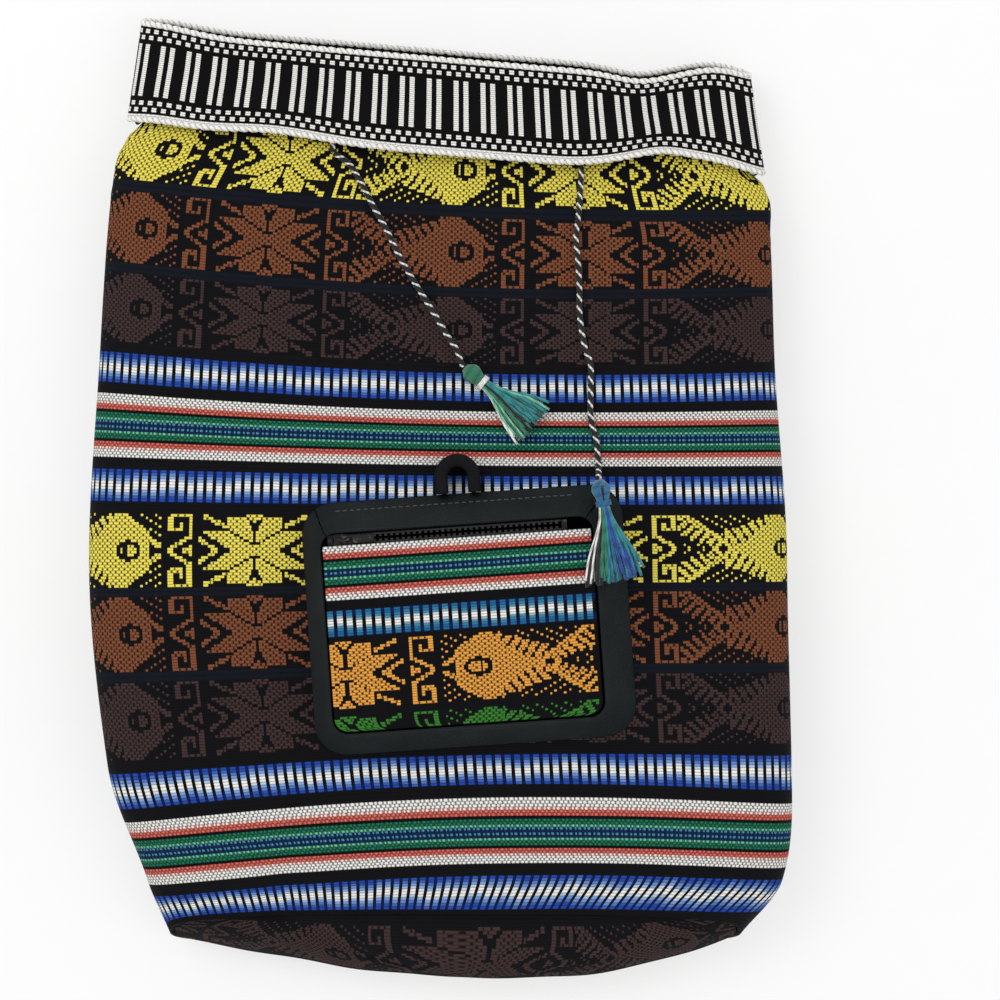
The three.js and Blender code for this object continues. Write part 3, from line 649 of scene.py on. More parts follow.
@dataclass(frozen=True)
class RimWave:
    """A wave of the rim: its place across the bag, width and height."""

    x: float
    width: float
    height: float

    def level(self, x: Array) -> Array:
        """Height of the wave, a bell across the bag."""
        return self.height * np.exp(-(((x - self.x) / self.width) ** 2))


@dataclass
class BagForm:
    """Form of the bag: an oval section that changes with the rise above the base seam."""

    cloth_length: float = 405.0
    seam_share: float = 0.42
    front_squareness: float = 2.9
    back_squareness: float = 3.4
    base_bulge: float = 21.0
    base_lean: float = 20.0
    base_skew: float = 0.35
    mouth_fall: float = 24.8
    rim_drop: float = 7.0
    neck_width: float = 285.0
    collar_top: float = 415.0
    collar_foot: float = 370.0
    half_width: Profile = field(default_factory=lambda: Profile((
        (0, 135), (24, 149), (80, 160.5), (175, 164), (265, 159.2), (335, 155.5), (366, 142.5), (415, 141.5))))
    height: Profile = field(default_factory=lambda: Profile((
        (0, 50), (24, 61), (80, 66), (175, 62), (335, 44), (366, 34), (415, 30))))
    back: Profile = field(default_factory=lambda: Profile((
        (0, 4.5), (80, 2.5), (175, 2.5), (295, 2.5), (358, 10), (415, 10))))
    middle: Profile = field(default_factory=lambda: Profile((
        (0, 4.5), (24, 9), (80, 1.8), (175, -3.6), (265, -3.8), (335, -2.4), (366, 0), (415, 0))))
    waves: tuple[RimWave, ...] = (RimWave(128, 20, 5.5), RimWave(90, 15, -2.5), RimWave(-138, 24, 3.5))
    foot_waves: tuple[RimWave, ...] = (RimWave(-82, 32, 3.7), RimWave(97, 22, 9.6))
    creases: tuple[Crease, ...] = (
        Crease(-104, 101, 19, 46, 11, -5), Crease(-112, 86, 17, 42, 11, 3.5), Crease(-76, 14, 80, 24, 9, -4),
        Crease(96, 322, -8, 60, 14, 2.5), Crease(-100, 330, -4, 55, 13, 2.5))

    def slide(self, rise: Array, x: Array, level: Array) -> Array:
        """How far a point moves along the bag: the base leans, the mouth falls to the right and its rim waves."""
        near_base = (1 - smoothstep(rise, 0, 70)) * self.base_lean
        near_mouth = smoothstep(rise, 120, self.collar_top)
        waves = sum(wave.level(x) for wave in self.waves)
        return level * near_base - near_mouth * (x / self.neck_width * self.mouth_fall + level * self.rim_drop - waves)

    def foot_lift(self, x: Array, angle: Array) -> Array:
        """How far the collar's foot is drawn up along the bag, on the front only."""
        lift = sum(wave.level(x) for wave in self.foot_waves)
        return np.where(np.sin(angle) > 0, lift, 0)

    def crease_level(self, x: Array, rise: Array) -> Array:
        """Height of all the folds together."""
        return sum(crease.level(x, rise) for crease in self.creases)

    def turn(self, angle: Array) -> tuple[Array, Array, Array]:
        """Share of the width, share of the reach and level at an angle round the bag.

        A squared oval: each share is the cosine or the sine to the power of 2 over the squareness.

        Args:
            angle: Angle round the bag, 0 on the right side seam and a quarter turn on the front.

        Returns:
            Share across, share up or down, and the level from -0.42 at the back to 0.58 at the front.
        """
        front = np.sin(angle) >= 0
        power = np.where(front, 2 / self.front_squareness, 2 / self.back_squareness)
        across = np.sign(np.cos(angle)) * np.abs(np.cos(angle)) ** power
        up = np.abs(np.sin(angle)) ** power
        return across, up, np.where(front, up * (1 - self.seam_share), -up * self.seam_share)

    def seam_height(self, rise: Array) -> Array:
        """Height of the side seams above the floor."""
        return self.back(rise) + self.seam_share * (self.height(rise) - self.back(rise))

    def point(self, rise: Array, angle: Array, outward: object = 0.0, lift: float = 0.0) -> Array:
        """Point on the bag.

        Args:
            rise: Place along the bag, above the base seam.
            angle: Angle round it.
            outward: How far the point stands off the cloth.
            lift: How far it is raised.

        Returns:
            Points, x, y and z.
        """
        across, up, level = self.turn(angle)
        front = np.sin(angle) >= 0
        seam = self.seam_height(rise)
        x = self.middle(rise) + (self.half_width(rise) + outward) * across
        reach = np.where(front, self.height(rise) + outward - seam, self.back(rise) - outward - seam)
        crease = np.where(front, self.crease_level(x, rise) * up ** 3, 0)
        y = rise + self.slide(rise, x, level)
        return np.stack(np.broadcast_arrays(x, y, seam + lift + reach * up + crease), -1)

    def front_height(self, x: Array, y: Array) -> Array:
        """Height of the front cloth above the floor, by turning x and y back into rise and angle."""
        x, y = np.asarray(x, float), np.asarray(y, float)
        rise = y
        for _ in range(8):
            share = np.minimum(np.abs((x - self.middle(rise)) / self.half_width(rise)), 1)
            up = (1 - share ** self.front_squareness) ** (1 / self.front_squareness)
            rise = y - self.slide(rise, x, up * (1 - self.seam_share))
        seam = self.seam_height(rise)
        return seam + (self.height(rise) - seam) * up + self.crease_level(x, rise) * up ** 3

    def even_angles(self, rise: float, start: float, end: float, shares: Array, outward: float = 0.0) -> Array:
        """Angles at shares of the outline's length at a rise.

        Args:
            rise: Place along the bag.
            start: First angle.
            end: Last angle.
            shares: Shares of the length, from 0 to 1.
            outward: How far the outline stands off the cloth.

        Returns:
            One angle for each share.
        """
        fine = np.linspace(start, end, 8001)
        line = self.point(np.full_like(fine, rise), fine, outward)[:, ::2]
        run = run_along(line)
        return np.interp(shares * run[-1], run, fine)


class Band(Enum):
    """Kinds of band that the loom weaves."""

    PLAIN = "plain"
    MOTIF = "motif"
    BARS = "bars"
    STRIPES = "stripes"


@dataclass(frozen=True)
class BandPlan:
    """One band: its kind, its rows of weft, its yarn, the rows that show if not all do, its height on the bag."""

    kind: Band
    rows: int
    yarn: Dye = Dye.GROUND
    shown: int = 0
    high: float = 5.0

    @property
    def height(self) -> int:
        """Rows that show, fewer than the band's where a seam cuts it off."""
        return self.shown or self.rows


def cell_edges(columns: int) -> Array:
    """Edges of the cells as shares of the cloth's width: two wide cells and two narrow ones, over and over."""
    widths = np.tile([1.22, 1.22, 0.78, 0.78], columns // 4)
    return np.concatenate([[0], np.cumsum(widths)]) / columns


def strokes(s: Array, t: Array, corners: object, half: Pair) -> Array:
    """True within a stroke along a broken line, its half width given along and across the row."""
    s, t = s / half[0], t / half[1]
    near = np.full(np.broadcast(s, t).shape, np.inf)
    points = np.asarray(corners, float) / half
    for (s0, t0), (s1, t1) in zip(points[:-1], points[1:]):
        long = (s1 - s0) ** 2 + (t1 - t0) ** 2
        share = np.clip(((s - s0) * (s1 - s0) + (t - t0) * (t1 - t0)) / long, 0, 1)
        near = np.minimum(near, np.hypot(s - s0 - share * (s1 - s0), t - t0 - share * (t1 - t0)))
    return near < 1


@dataclass
class Loom:
    """Weaves the cloth cell by cell: each cell is a quarter of a float wide and one row of weft high."""

    repeat: float = 155.0
    fish_length: float = 70.0
    fish_end: float = 1.6
    fret_place: float = 9.8
    flower_place: float = 44.6
    mirrored_fret_place: float = 78.6
    fret_half: float = 6.5
    flower_half: float = 26.5
    half_row: float = 16.6
    body: Profile = field(default_factory=lambda: Profile((
        (-46, 1.6), (-42, 2.4), (-38.5, 3.2), (-34.5, 5.6), (-30.5, 8.2), (-27, 11.5), (-24.5, 15.6), (-18, 16.4),
        (-12, 13.1), (-6.5, 9.3), (-1.9, 4.1), (0, 2))))

    def fish(self, s: Array, t: Array) -> tuple[Array, Array]:
        """A ribbed fish that swims to the right, its nose at s = 0, and where single dots lie round it.

        The body lies inside a rounded outline with an open mouth and a dark ring for the eye; fins are slanted
        strokes between the body and a straight edge, the tail is a fork of slanted strokes behind a dark knot.

        Args:
            s: Place along the row.
            t: Place above the middle of the row.

        Returns:
            True where the motif floats, and where single dots may lie.
        """
        high = np.abs(t)
        body = (s > -46) & (s < -5.4) & (high < self.body(s))
        jaw = strokes(s, high, ((-7.6, 6.4), (-0.9, 2.4)), (1.6, 0.9))
        ring = np.hypot((s + 15.8) / 6.3, t / 4.4)
        eye = ((ring > 0.68) & (ring < 1.06)) | ((np.abs(s + 17.3) < 0.8) & (high < 2.5))
        fin_edge = np.minimum(8.8 + (s + 46.6) * 0.36, 16.4)
        fin = (s > -48) & (s < -20) & (high < fin_edge) & (high > self.body(s) - 0.6)
        fin &= np.abs(np.mod(s + 0.65 * high + 43.45, 4.9) - 2.45) < 1.55
        tail_edge = 3.95 - (s + 47.1) * 0.725
        tail_foot = 2.2 - (s + 56.7) * 0.317
        core = np.abs(s + 48.4) / 2.9 + high / 3.1
        tail = (s > -69.5) & (s < -46.5) & (high < np.minimum(tail_edge, 16.4)) & (high > tail_foot) & (core > 1)
        tail &= (np.abs(np.mod(s - 1.17 * high + 61.05, 5.7) - 2.85) < 1.65) | (tail_edge - high < 2.7)
        knot = (core > 1) & (core < 2.0) & (s < -45) & (high < 5)
        edge = np.where(s > -46.6, np.where(s < -23, fin_edge, self.body(s)), tail_edge)
        free = (s > -66) & (s < 3) & (high > edge + 1.6) & (high < 16.2)
        free |= (s > -69) & (s < -57) & (high < tail_foot - 1)
        return (body & ~eye) | jaw | fin | tail | knot, free

    def flower(self, s: Array, t: Array) -> Array:
        """A flower about s = 0, alike in all four quarters.

        Each quarter has an upright lobe under a rounded edge, a pointed ray beside it, a corner stroke, half a
        chevron at the side and half a small wedge at the top.

        Args:
            s: Place along the row.
            t: Place above the middle of the row.

        Returns:
            True where the motif floats.
        """
        a, b = np.abs(s) / 0.94, np.abs(t)
        top = 15.9 - 7.8 * np.clip((6.6 - a) / 5.5, 0, 1) ** 2
        lobe = (a > 1.2) & (a < 13.3) & (b < top) & (b > 3.3 + (a - 1.4) * 0.567)
        ray = (a < 27) & (b < np.minimum(2.3 + (a - 1.4) * 0.567, 9.5)) & (b > (a - 11.5) * 0.58)
        heart = (a < 3) & (b < 2.8)
        chevron = (np.abs(a - 18.8 - 1.74 * b) < 1.8) & (b < 5.8)
        corner = (np.abs(a - 14.8 - (b - 11.2) * 2.3) < 2.4) & (b > 10.8) & (a > 14.3) & (a < 25.5)
        cap = (b > 12.8) & (a < (b - 12.6) * 1.25)
        return lobe | ray | heart | chevron | corner | cap

    def fret(self, s: Array, t: Array) -> Array:
        """A meander column about s = 0: a squared hook at each end joined by a zigzag, with a small wedge."""
        path = ((0.2, 12.2), (0.2, 9.2), (-4.5, 9.2), (-4.5, 15.6), (4.6, 15.6), (4.6, 6.4), (-4.6, 1.2), (-4.6, -1.2),
                (4.4, -6.3), (4.4, -15.7), (-4.6, -15.7), (-4.6, -8.9), (0.2, -8.9), (0.2, -12))
        wedge = (s > 0.2) & (s < 5.6) & (np.abs(t) < 0.2 + (s - 0.2) * 0.5)
        return strokes(s, t, path, (1.12, 0.7)) | wedge

    def motif(self, s: Array, t: Array) -> tuple[Array, Array]:
        """One motif row: fish, fret, flower and mirrored fret, over and over.

        Args:
            s: Place along the row, with a fish's nose at 0.
            t: Place above the middle of the row.

        Returns:
            True where the motif floats, and where single dots may lie.
        """
        place = np.mod(s + self.fish_length, self.repeat) - self.fish_length
        lit, dots = self.fish(place, t)
        lit &= place <= self.fish_end
        fret, flower, mirrored = place - self.fret_place, place - self.flower_place, self.mirrored_fret_place - place
        lit |= (np.abs(fret) < self.fret_half) & self.fret(fret, t)
        lit |= (np.abs(flower) < self.flower_half) & self.flower(flower, t)
        lit |= (np.abs(mirrored) < self.fret_half) & self.fret(mirrored, t)
        return lit, dots & (place < 2)

    def bars(self, rows: int, columns: int, blues: tuple[Dye, Dye], cells: int) -> Array:
        """Colours of a band of dyed bars: blue at its edges to white in the middle, dark gaps between.

        Args:
            rows: Rows of the band.
            columns: Cells across the cloth.
            blues: Dyes of the bars' ends and of the stretch before the white.
            cells: Cells of one bar and its gap.

        Returns:
            Colours by row and column.
        """
        row, column = np.meshgrid(np.arange(rows) + 0.5, np.arange(columns), indexing="ij")
        bar = column // cells
        drift = 0.5 * np.sin(bar * 1.7) + 0.45 * np.sin(bar * 0.61 + 1)
        middle = (1 - np.abs(2 * (row + drift) / rows - 1))[..., None]
        pale, white = smoothstep(middle, 0.1, 0.7), smoothstep(middle, 0.58, 0.9)
        lit = (1 - pale) * blues[0].value + pale * blues[1].value
        lit = (1 - white) * lit + white * Dye.WHITE.value
        gap = (1 - pale) * Dye.NAVY.value + pale * Dye.BLACK.value
        return np.where((column % cells < cells / 2)[..., None], lit, gap)

    def stripes(self, rows: int, columns: int) -> tuple[Array, Array]:
        """Colours and lay of a block of stripes: white, red, green and checked blue, and back in a mirror.

        Args:
            rows: Rows of the block.
            columns: Cells across the cloth.

        Returns:
            Colours and ways of lying by row and column.
        """
        row, column = np.meshgrid(np.arange(rows), np.arange(columns), indexing="ij")
        half = 1 - np.abs(2 * (row + 0.5) / rows - 1)
        even = ((column + row) % 2 == 0)[..., None]
        check = ((column % 2 == 0) & (row % 2 == 0))[..., None]
        colour = np.where(check, Dye.POOL.value, Dye.DEEP.value)
        steps = (
            (0.82, np.where(even, Dye.MINT.value, Dye.GREEN.value)),
            (0.72, np.where(even, Dye.GREEN.value, Dye.PINE.value)),
            (0.56, Dye.BLACK.value), (0.5, np.where(even, Dye.RED.value, Dye.SALMON.value)),
            (0.32, np.where(even, Dye.SALMON.value, Dye.WHITE.value)), (0.22, Dye.WHITE.value))
        for limit, shade in steps:
            colour = np.where((half < limit)[..., None], shade, colour)
        lay = np.zeros((rows, columns, 3))
        lay[..., 1] = np.where(half < 0.22, 0.85, 0.45)
        return colour, lay

    def weave(self, plan: tuple[BandPlan, ...], places: Array, nose: float, flip: bool = False,
              blues: tuple[Dye, Dye] = (Dye.BLUE, Dye.SKY), cells: int = 4) -> tuple[Array, Array]:
        """Weaves a cloth, band after band.

        Args:
            plan: The bands, in order.
            places: Middle of each cell from the cloth's left edge.
            nose: Place of a fish's nose from the left edge.
            flip: True where the fish swim to the left.
            blues: Dyes of the bars, from their ends to the white.
            cells: Cells of one bar and its gap.

        Returns:
            Colours and ways of lying of the cells: floats, twill and single dots.
        """
        colours, lays = [], []
        columns = len(places)
        s = (places - nose)[None] * (-1 if flip else 1)
        for band in plan:
            colour = np.tile(band.yarn.value, (band.rows, columns, 1))
            lay = np.zeros((band.rows, columns, 3))
            if band.kind is Band.BARS:
                colour = self.bars(band.rows, columns, blues, cells)
            if band.kind is Band.STRIPES:
                colour, lay = self.stripes(band.rows, columns)
            if band.kind is Band.MOTIF:
                row = np.arange(band.rows)[:, None]
                lit, free = self.motif(s, (0.5 - (row + 0.5) / band.rows) * 2 * self.half_row)
                outward = np.abs(row - (band.rows - 1) / 2).astype(int)
                dots = free & ~lit & ((np.arange(columns)[None] + 2 * outward) % 6 == 0)
                colour = np.where((lit | dots)[..., None], colour, Dye.GROUND.value)
                lay[..., 0] = lit & np.roll(lit, 1, 1) & np.roll(lit, -1, 1)
                lay[..., 2] = dots
            colours.append(colour[:band.height])
            lays.append(lay[:band.height])
        return np.concatenate(colours).reshape(-1, 3), np.concatenate(lays).reshape(-1, 3)


@dataclass
class ClothBag:
    """The bag's front, back and base."""

    form: BagForm
    loom: Loom
    columns: int = 320
    back_columns: int = 160
    step: int = 8
    thickness: float = 1.8
    width: float = 357.0
    nose: float = 205.0
    back_nose: float = 245.0
    base_rows: int = 48
    base_columns: int = 224
    base_width: float = 262.0
    base_nose: float = 95.0
    finish: ClothFinish = ClothFinish("banded cloth")
    back_finish: ClothFinish = ClothFinish("banded cloth of the back", float_cells=1.4)
    plan: tuple[BandPlan, ...] = (
        BandPlan(Band.PLAIN, 7), BandPlan(Band.MOTIF, 26, Dye.YELLOW, high=34.5),
        BandPlan(Band.PLAIN, 2, Dye.INDIGO, high=5.8), BandPlan(Band.MOTIF, 26, Dye.RUST, high=33),
        BandPlan(Band.PLAIN, 2, Dye.INDIGO, high=4.7), BandPlan(Band.MOTIF, 26, Dye.MAUVE, high=30.8),
        BandPlan(Band.PLAIN, 2, high=4.7), BandPlan(Band.BARS, 11, high=13), BandPlan(Band.PLAIN, 3, high=4.6),
        BandPlan(Band.STRIPES, 24, high=25.2), BandPlan(Band.PLAIN, 3, high=4.8), BandPlan(Band.BARS, 11, high=13.4),
        BandPlan(Band.PLAIN, 3, high=5), BandPlan(Band.MOTIF, 26, Dye.YELLOW, high=31.3),
        BandPlan(Band.PLAIN, 2, Dye.INDIGO, high=4.1), BandPlan(Band.MOTIF, 26, Dye.RUST, high=33),
        BandPlan(Band.PLAIN, 2, Dye.INDIGO, high=4.6), BandPlan(Band.MOTIF, 26, Dye.MAUVE, high=32),
        BandPlan(Band.PLAIN, 4, high=5.1), BandPlan(Band.BARS, 11, high=13.7), BandPlan(Band.PLAIN, 3, high=6),
        BandPlan(Band.STRIPES, 24, high=30.7), BandPlan(Band.PLAIN, 3, high=5.7), BandPlan(Band.BARS, 11, high=16.9),
        BandPlan(Band.PLAIN, 4))
    first_edge: float = 376.0
    half_front: float = 157.0
    # How far the bands climb to the right, and how far their ends lie above their middle, by height on the bag
    tilt: Profile = field(default_factory=lambda: Profile((
        (13, 5.8), (70, 5.2), (125, 2.4), (165, 1.4), (200, -0.6), (250, -4.2), (300, -5.8), (340, -7.4), (376, -7.5))))
    bow: Profile = field(default_factory=lambda: Profile((
        (13, -9.7), (68, -9.5), (90, -5.5), (125, -2.5), (165, -1), (200, 0.9), (220, 2), (250, 5.2), (300, 7.2),
        (335, 6.5), (376, 4.8))))
    shoulder: Profile = field(default_factory=lambda: Profile((
        (0, 0), (330, 0), (338, 0.4), (344, 2.4), (349, 5), (355, 7), (361, 6.8), (365, 3.6), (368, 1), (371, 0),
        (405, 0))))

    def band_rises(self, angles: Array) -> Array:
        """Rise of each edge between bands in each column, by turning its height on the bag back into a rise.

        Args:
            angles: Angle of each column.

        Returns:
            Rises by edge and column, from the top of the cloth to the base seam.
        """
        _, _, level = self.form.turn(angles)
        rises = [np.full_like(angles, self.form.cloth_length)]
        heights = self.first_edge - np.cumsum([0.0, *(band.high for band in self.plan[1:-1])])
        for place, height in enumerate(heights):
            rise = np.full_like(angles, height)
            for _ in range(12):
                x = self.form.point(rise, angles)[:, 0]
                share = x / self.half_front
                lie = height + self.tilt(np.array(height)) * share + self.bow(np.array(height)) * share ** 2
                rise = lie - self.form.slide(rise, x, level)
            low = 0.9 * (len(heights) - place) + 1.5
            rises.append(np.clip(rise, low, rises[-1] - 0.8))
        rises.append(np.zeros_like(angles))
        return np.array(rises)

    def row_rises(self, edges: Array) -> Array:
        """Rise of every row of weft, each band parted evenly between its edges."""
        parts = [
            edges[place] + (edges[place + 1] - edges[place]) * (np.arange(band.rows) / band.rows)[:, None]
            for place, band in enumerate(self.plan)]
        return np.vstack([*parts, edges[-1:]])

    def unevenness(self, x: Array, rise: Array, up: Array) -> Array:
        """Soft unevenness of the front: long low waves, and gathers below the collar that fade downward."""
        waves = 0.55 * np.sin(x / 29 + rise / 47) * np.sin(rise / 33 - x / 71 + 1) + 0.25 * np.sin(x / 13 - rise / 19)
        below = np.maximum(self.form.collar_foot - rise, 0)
        gathers = 0.9 * np.exp(-((below / 26) ** 2)) * np.sin(x / 4.1 + 0.8 * np.sin(x / 17)) * smoothstep(below, 0, 6)
        return (waves + gathers) * up ** 3

    def laid(self, rises: Array, angles: Array, outward: float, lift: float) -> Array:
        """Points of the cloth, its sides bulging out just below the collar.

        Args:
            rises: Place along the bag.
            angles: Angles round it.
            outward: How far the points stand off the cloth.
            lift: How far they are raised.

        Returns:
            Points, x, y and z.
        """
        points = self.form.point(rises, angles, outward, lift)
        points[..., 0] += self.shoulder(rises) * self.form.turn(angles)[0] ** 5
        return points

    def front(self) -> Piece:
        """Front cloth, with every row of weft where it lies in the photograph."""
        edges = cell_edges(self.columns)
        angles = self.form.even_angles(175, np.pi, 0, edges)
        rises = self.row_rises(self.band_rises(angles))
        round_it = np.broadcast_to(angles, rises.shape)
        _, up, _ = self.form.turn(round_it)
        outer = self.laid(rises, round_it, 0.0, 0.15)
        uneven = self.unevenness(outer[..., 0], rises, up)
        outer[..., 2] += uneven
        few = np.s_[::self.step, ::self.step]
        inner = self.laid(rises[few], round_it[few], -self.thickness, 0.15)
        inner[..., 2] += uneven[few]
        colour, lay = self.loom.weave(self.plan, (edges[1:] + edges[:-1]) / 2 * self.width, self.nose)
        cloth = Sculpt()
        cloth.shell(outer, inner, colour, lay)
        return cloth.piece("cloth_front", self.finish.material(), "bag_cloth", ("bag_front",))

    def rear(self) -> Piece:
        """Back cloth, its bands meeting the front's along the side seams."""
        sides = self.band_rises(np.array([np.pi, 0.0]))
        share = np.linspace(0, 1, self.back_columns + 1)[None]
        angles = self.form.even_angles(175, np.pi, 2 * np.pi, share[0])
        rises = self.row_rises(sides[:, :1] * (1 - share) + sides[:, 1:] * share)
        round_it = np.broadcast_to(angles, rises.shape)
        outer = self.laid(rises, round_it, 0.0, -0.15)
        few = np.s_[::self.step, ::self.step]
        inner = self.laid(rises[few], round_it[few], -self.thickness, -0.15)
        places = (share[0, 1:] + share[0, :-1]) / 2 * self.width
        colour, lay = self.loom.weave(self.plan, places, self.back_nose, cells=2)
        cloth = Sculpt()
        cloth.shell(outer, inner, colour, lay)
        return cloth.piece("cloth_back", self.back_finish.material(), "bag_cloth", ("bag_back",))

    def base(self) -> Piece:
        """Oval base: a square grid pressed into a disc, its rim inside the bag's foot and its middle bulging out."""
        edges = cell_edges(self.base_columns)
        t, s = np.meshgrid(np.linspace(1, -1, self.base_rows + 1), 2 * edges - 1, indexing="ij")
        disc_x, disc_y = s * np.sqrt(1 - t * t / 2), t * np.sqrt(1 - s * s / 2)
        radius = np.minimum(np.hypot(disc_x, disc_y), 1)[..., None]
        angle = np.arctan2(disc_y, disc_x)
        rim = self.form.point(np.zeros_like(angle), angle, -2.6)
        hub = self.form.point(np.zeros(1), np.zeros(1), -self.form.half_width(np.zeros(1)))[0]
        outer = hub + (rim - hub) * radius
        outer[..., 1] -= self.form.base_bulge * (1 - radius[..., 0] ** 2) * (1 + self.form.base_skew * disc_x)
        outer[..., 1] -= 0.5 * np.sin(outer[..., 0] / 9) * np.sin(np.pi * radius[..., 0])
        inner = outer[::4, ::4] + (0.0, self.thickness, 0.0)
        plan = (BandPlan(Band.PLAIN, 3), BandPlan(Band.MOTIF, 26, Dye.MAUVE, 22), BandPlan(Band.PLAIN, 3),
                BandPlan(Band.MOTIF, 26, Dye.RUST, 20))
        colour, lay = self.loom.weave(plan, (edges[1:] + edges[:-1]) / 2 * self.base_width, self.base_nose)
        cloth = Sculpt()
        cloth.shell(outer, inner, colour, lay)
        return cloth.piece("cloth_base", self.finish.material(), "base_cloth", ("bag_base",))

    def build(self) -> None:
        """Makes the three cloths and says how each was cut."""
        self.front()
        self.rear()
        self.base()


def paired_bars(step: Array) -> Array:
    """True on the pairs of white bars, two steps wide, that come back every eleven steps."""
    return np.isin(step % 11, (2, 3, 6, 7))


@dataclass
class Collar:
    """Woven collar round the mouth, with a looped edge at the top and a corded edge at the foot."""

    form: BagForm
    columns: int = 528
    rows: int = 44
    height: float = 45.0
    thickness: float = 2.0
    close: float = 0.6
    stand: float = 5.7
    bead: float = 4.75
    half_round: float = 321.0
    loop_steps: int = 10
    # The last number darkens the edges of each row of weft as painted shade
    finish: ClothFinish = ClothFinish("black and white band", Dye.BLACK.value, 0.5, 0.42)

    def stand_off(self, share: Array) -> Array:
        """How far the band stands off the cloth: close at the top, out over the cord at the foot."""
        return self.close + (1 - smoothstep(share, 0.22, 0.62)) * self.stand

    def face(self, share: Array, around: Array, outward: float) -> Array:
        """One face of the band: its height above the cloth follows the cord, its width leans out evenly.

        Args:
            share: Shares of the collar's height, one row each.
            around: Angles round the bag.
            outward: How far the face lies outside the band's inner face.

        Returns:
            Points by row and angle.
        """
        rise = self.form.collar_foot + share * self.height + 0 * around
        angle = np.broadcast_to(around, rise.shape)
        points = self.form.point(rise, angle, self.stand_off(share) + outward)
        points[..., :2] = self.form.point(rise, angle, self.close + self.stand * (1 - share) + outward)[..., :2]
        points[..., 1] += self.form.foot_lift(points[..., 0], angle) * (1 - share)
        return points

    def pattern(self) -> tuple[Array, Array]:
        """White edges, two rows of checked dots, pairs of upright bars on black, dots and edge again.

        Returns:
            Colours and ways of lying by row and column.
        """
        row, column = np.meshgrid(np.arange(self.rows), np.arange(self.columns), indexing="ij")
        inward = np.minimum(row, self.rows - 1 - row)
        bar = paired_bars(column) & (inward >= 10)
        dotted = ((inward - 3) // 3 < 2) & (inward >= 3) & ((inward - 3) % 3 < 2)
        dots = dotted & ((column // 2 + (inward - 3) // 3) % 2 == 0)
        white = bar | dots | (inward < 2)
        colour = np.where(white[..., None], Dye.WHITE.value, Dye.BLACK.value)
        lay = np.zeros((self.rows, self.columns, 3))
        lay[..., 1] = np.where(inward < 2, 0.5, 0.1)
        return colour, lay

    def edge(self, name: str, rise: float, share: float, size: float) -> Piece:
        """A row of yarn loops along one edge: a round section that swells and narrows with every loop.

        Args:
            name: Its name.
            rise: Place along the bag.
            share: The same place as a share of the collar's height.
            size: Half of a loop's height.

        Returns:
            The piece.
        """
        outward = float(self.stand_off(np.array(share))) + self.thickness / 2
        steps = 2 * int(round(self.half_round / self.bead)) * self.loop_steps
        around = self.form.even_angles(rise, 0, 2 * np.pi, np.linspace(0, 1, steps + 1), outward)[:-1]
        path = self.form.point(np.full_like(around, rise), around, outward)
        path[:, 1] += self.form.foot_lift(path[:, 0], around) * (1 - share)
        swell = size * (0.62 + 0.38 * np.abs(np.sin(np.pi * np.arange(len(path)) / self.loop_steps)) ** 0.7)
        edge = Sculpt()
        section = circle(10) * (0.85, 1.0)
        edge.tube(carried(path, section, True, swell), Dye.WHITE.value, True, (0.1, 0.35))
        return edge.piece(name, YarnFinish("white edging", 2.0).material(), "woven_tape")

    def build(self) -> None:
        """Makes the band and its two edges."""
        around = self.form.even_angles(392, 0, 2 * np.pi, np.linspace(0, 1, self.columns + 1), 4.0)[:-1]
        share = np.linspace(1, 0, self.rows + 1)[:, None]
        outer, inner = self.face(share, around, self.thickness), self.face(share[::2], around[::2], 0.1)
        colour, lay = self.pattern()
        band = Sculpt()
        band.shell(outer, inner, colour.reshape(-1, 3), lay.reshape(-1, 3), Dye.BLACK.value, True)
        made = band.piece("collar", self.finish.material(), "woven_tape", ("collar_band",))
        top = self.edge("collar_top_loops", self.form.collar_top - 0.9, 1.0, 1.9)
        foot = self.edge("collar_foot_loops", self.form.collar_foot - 0.6, 0.0, 1.7)


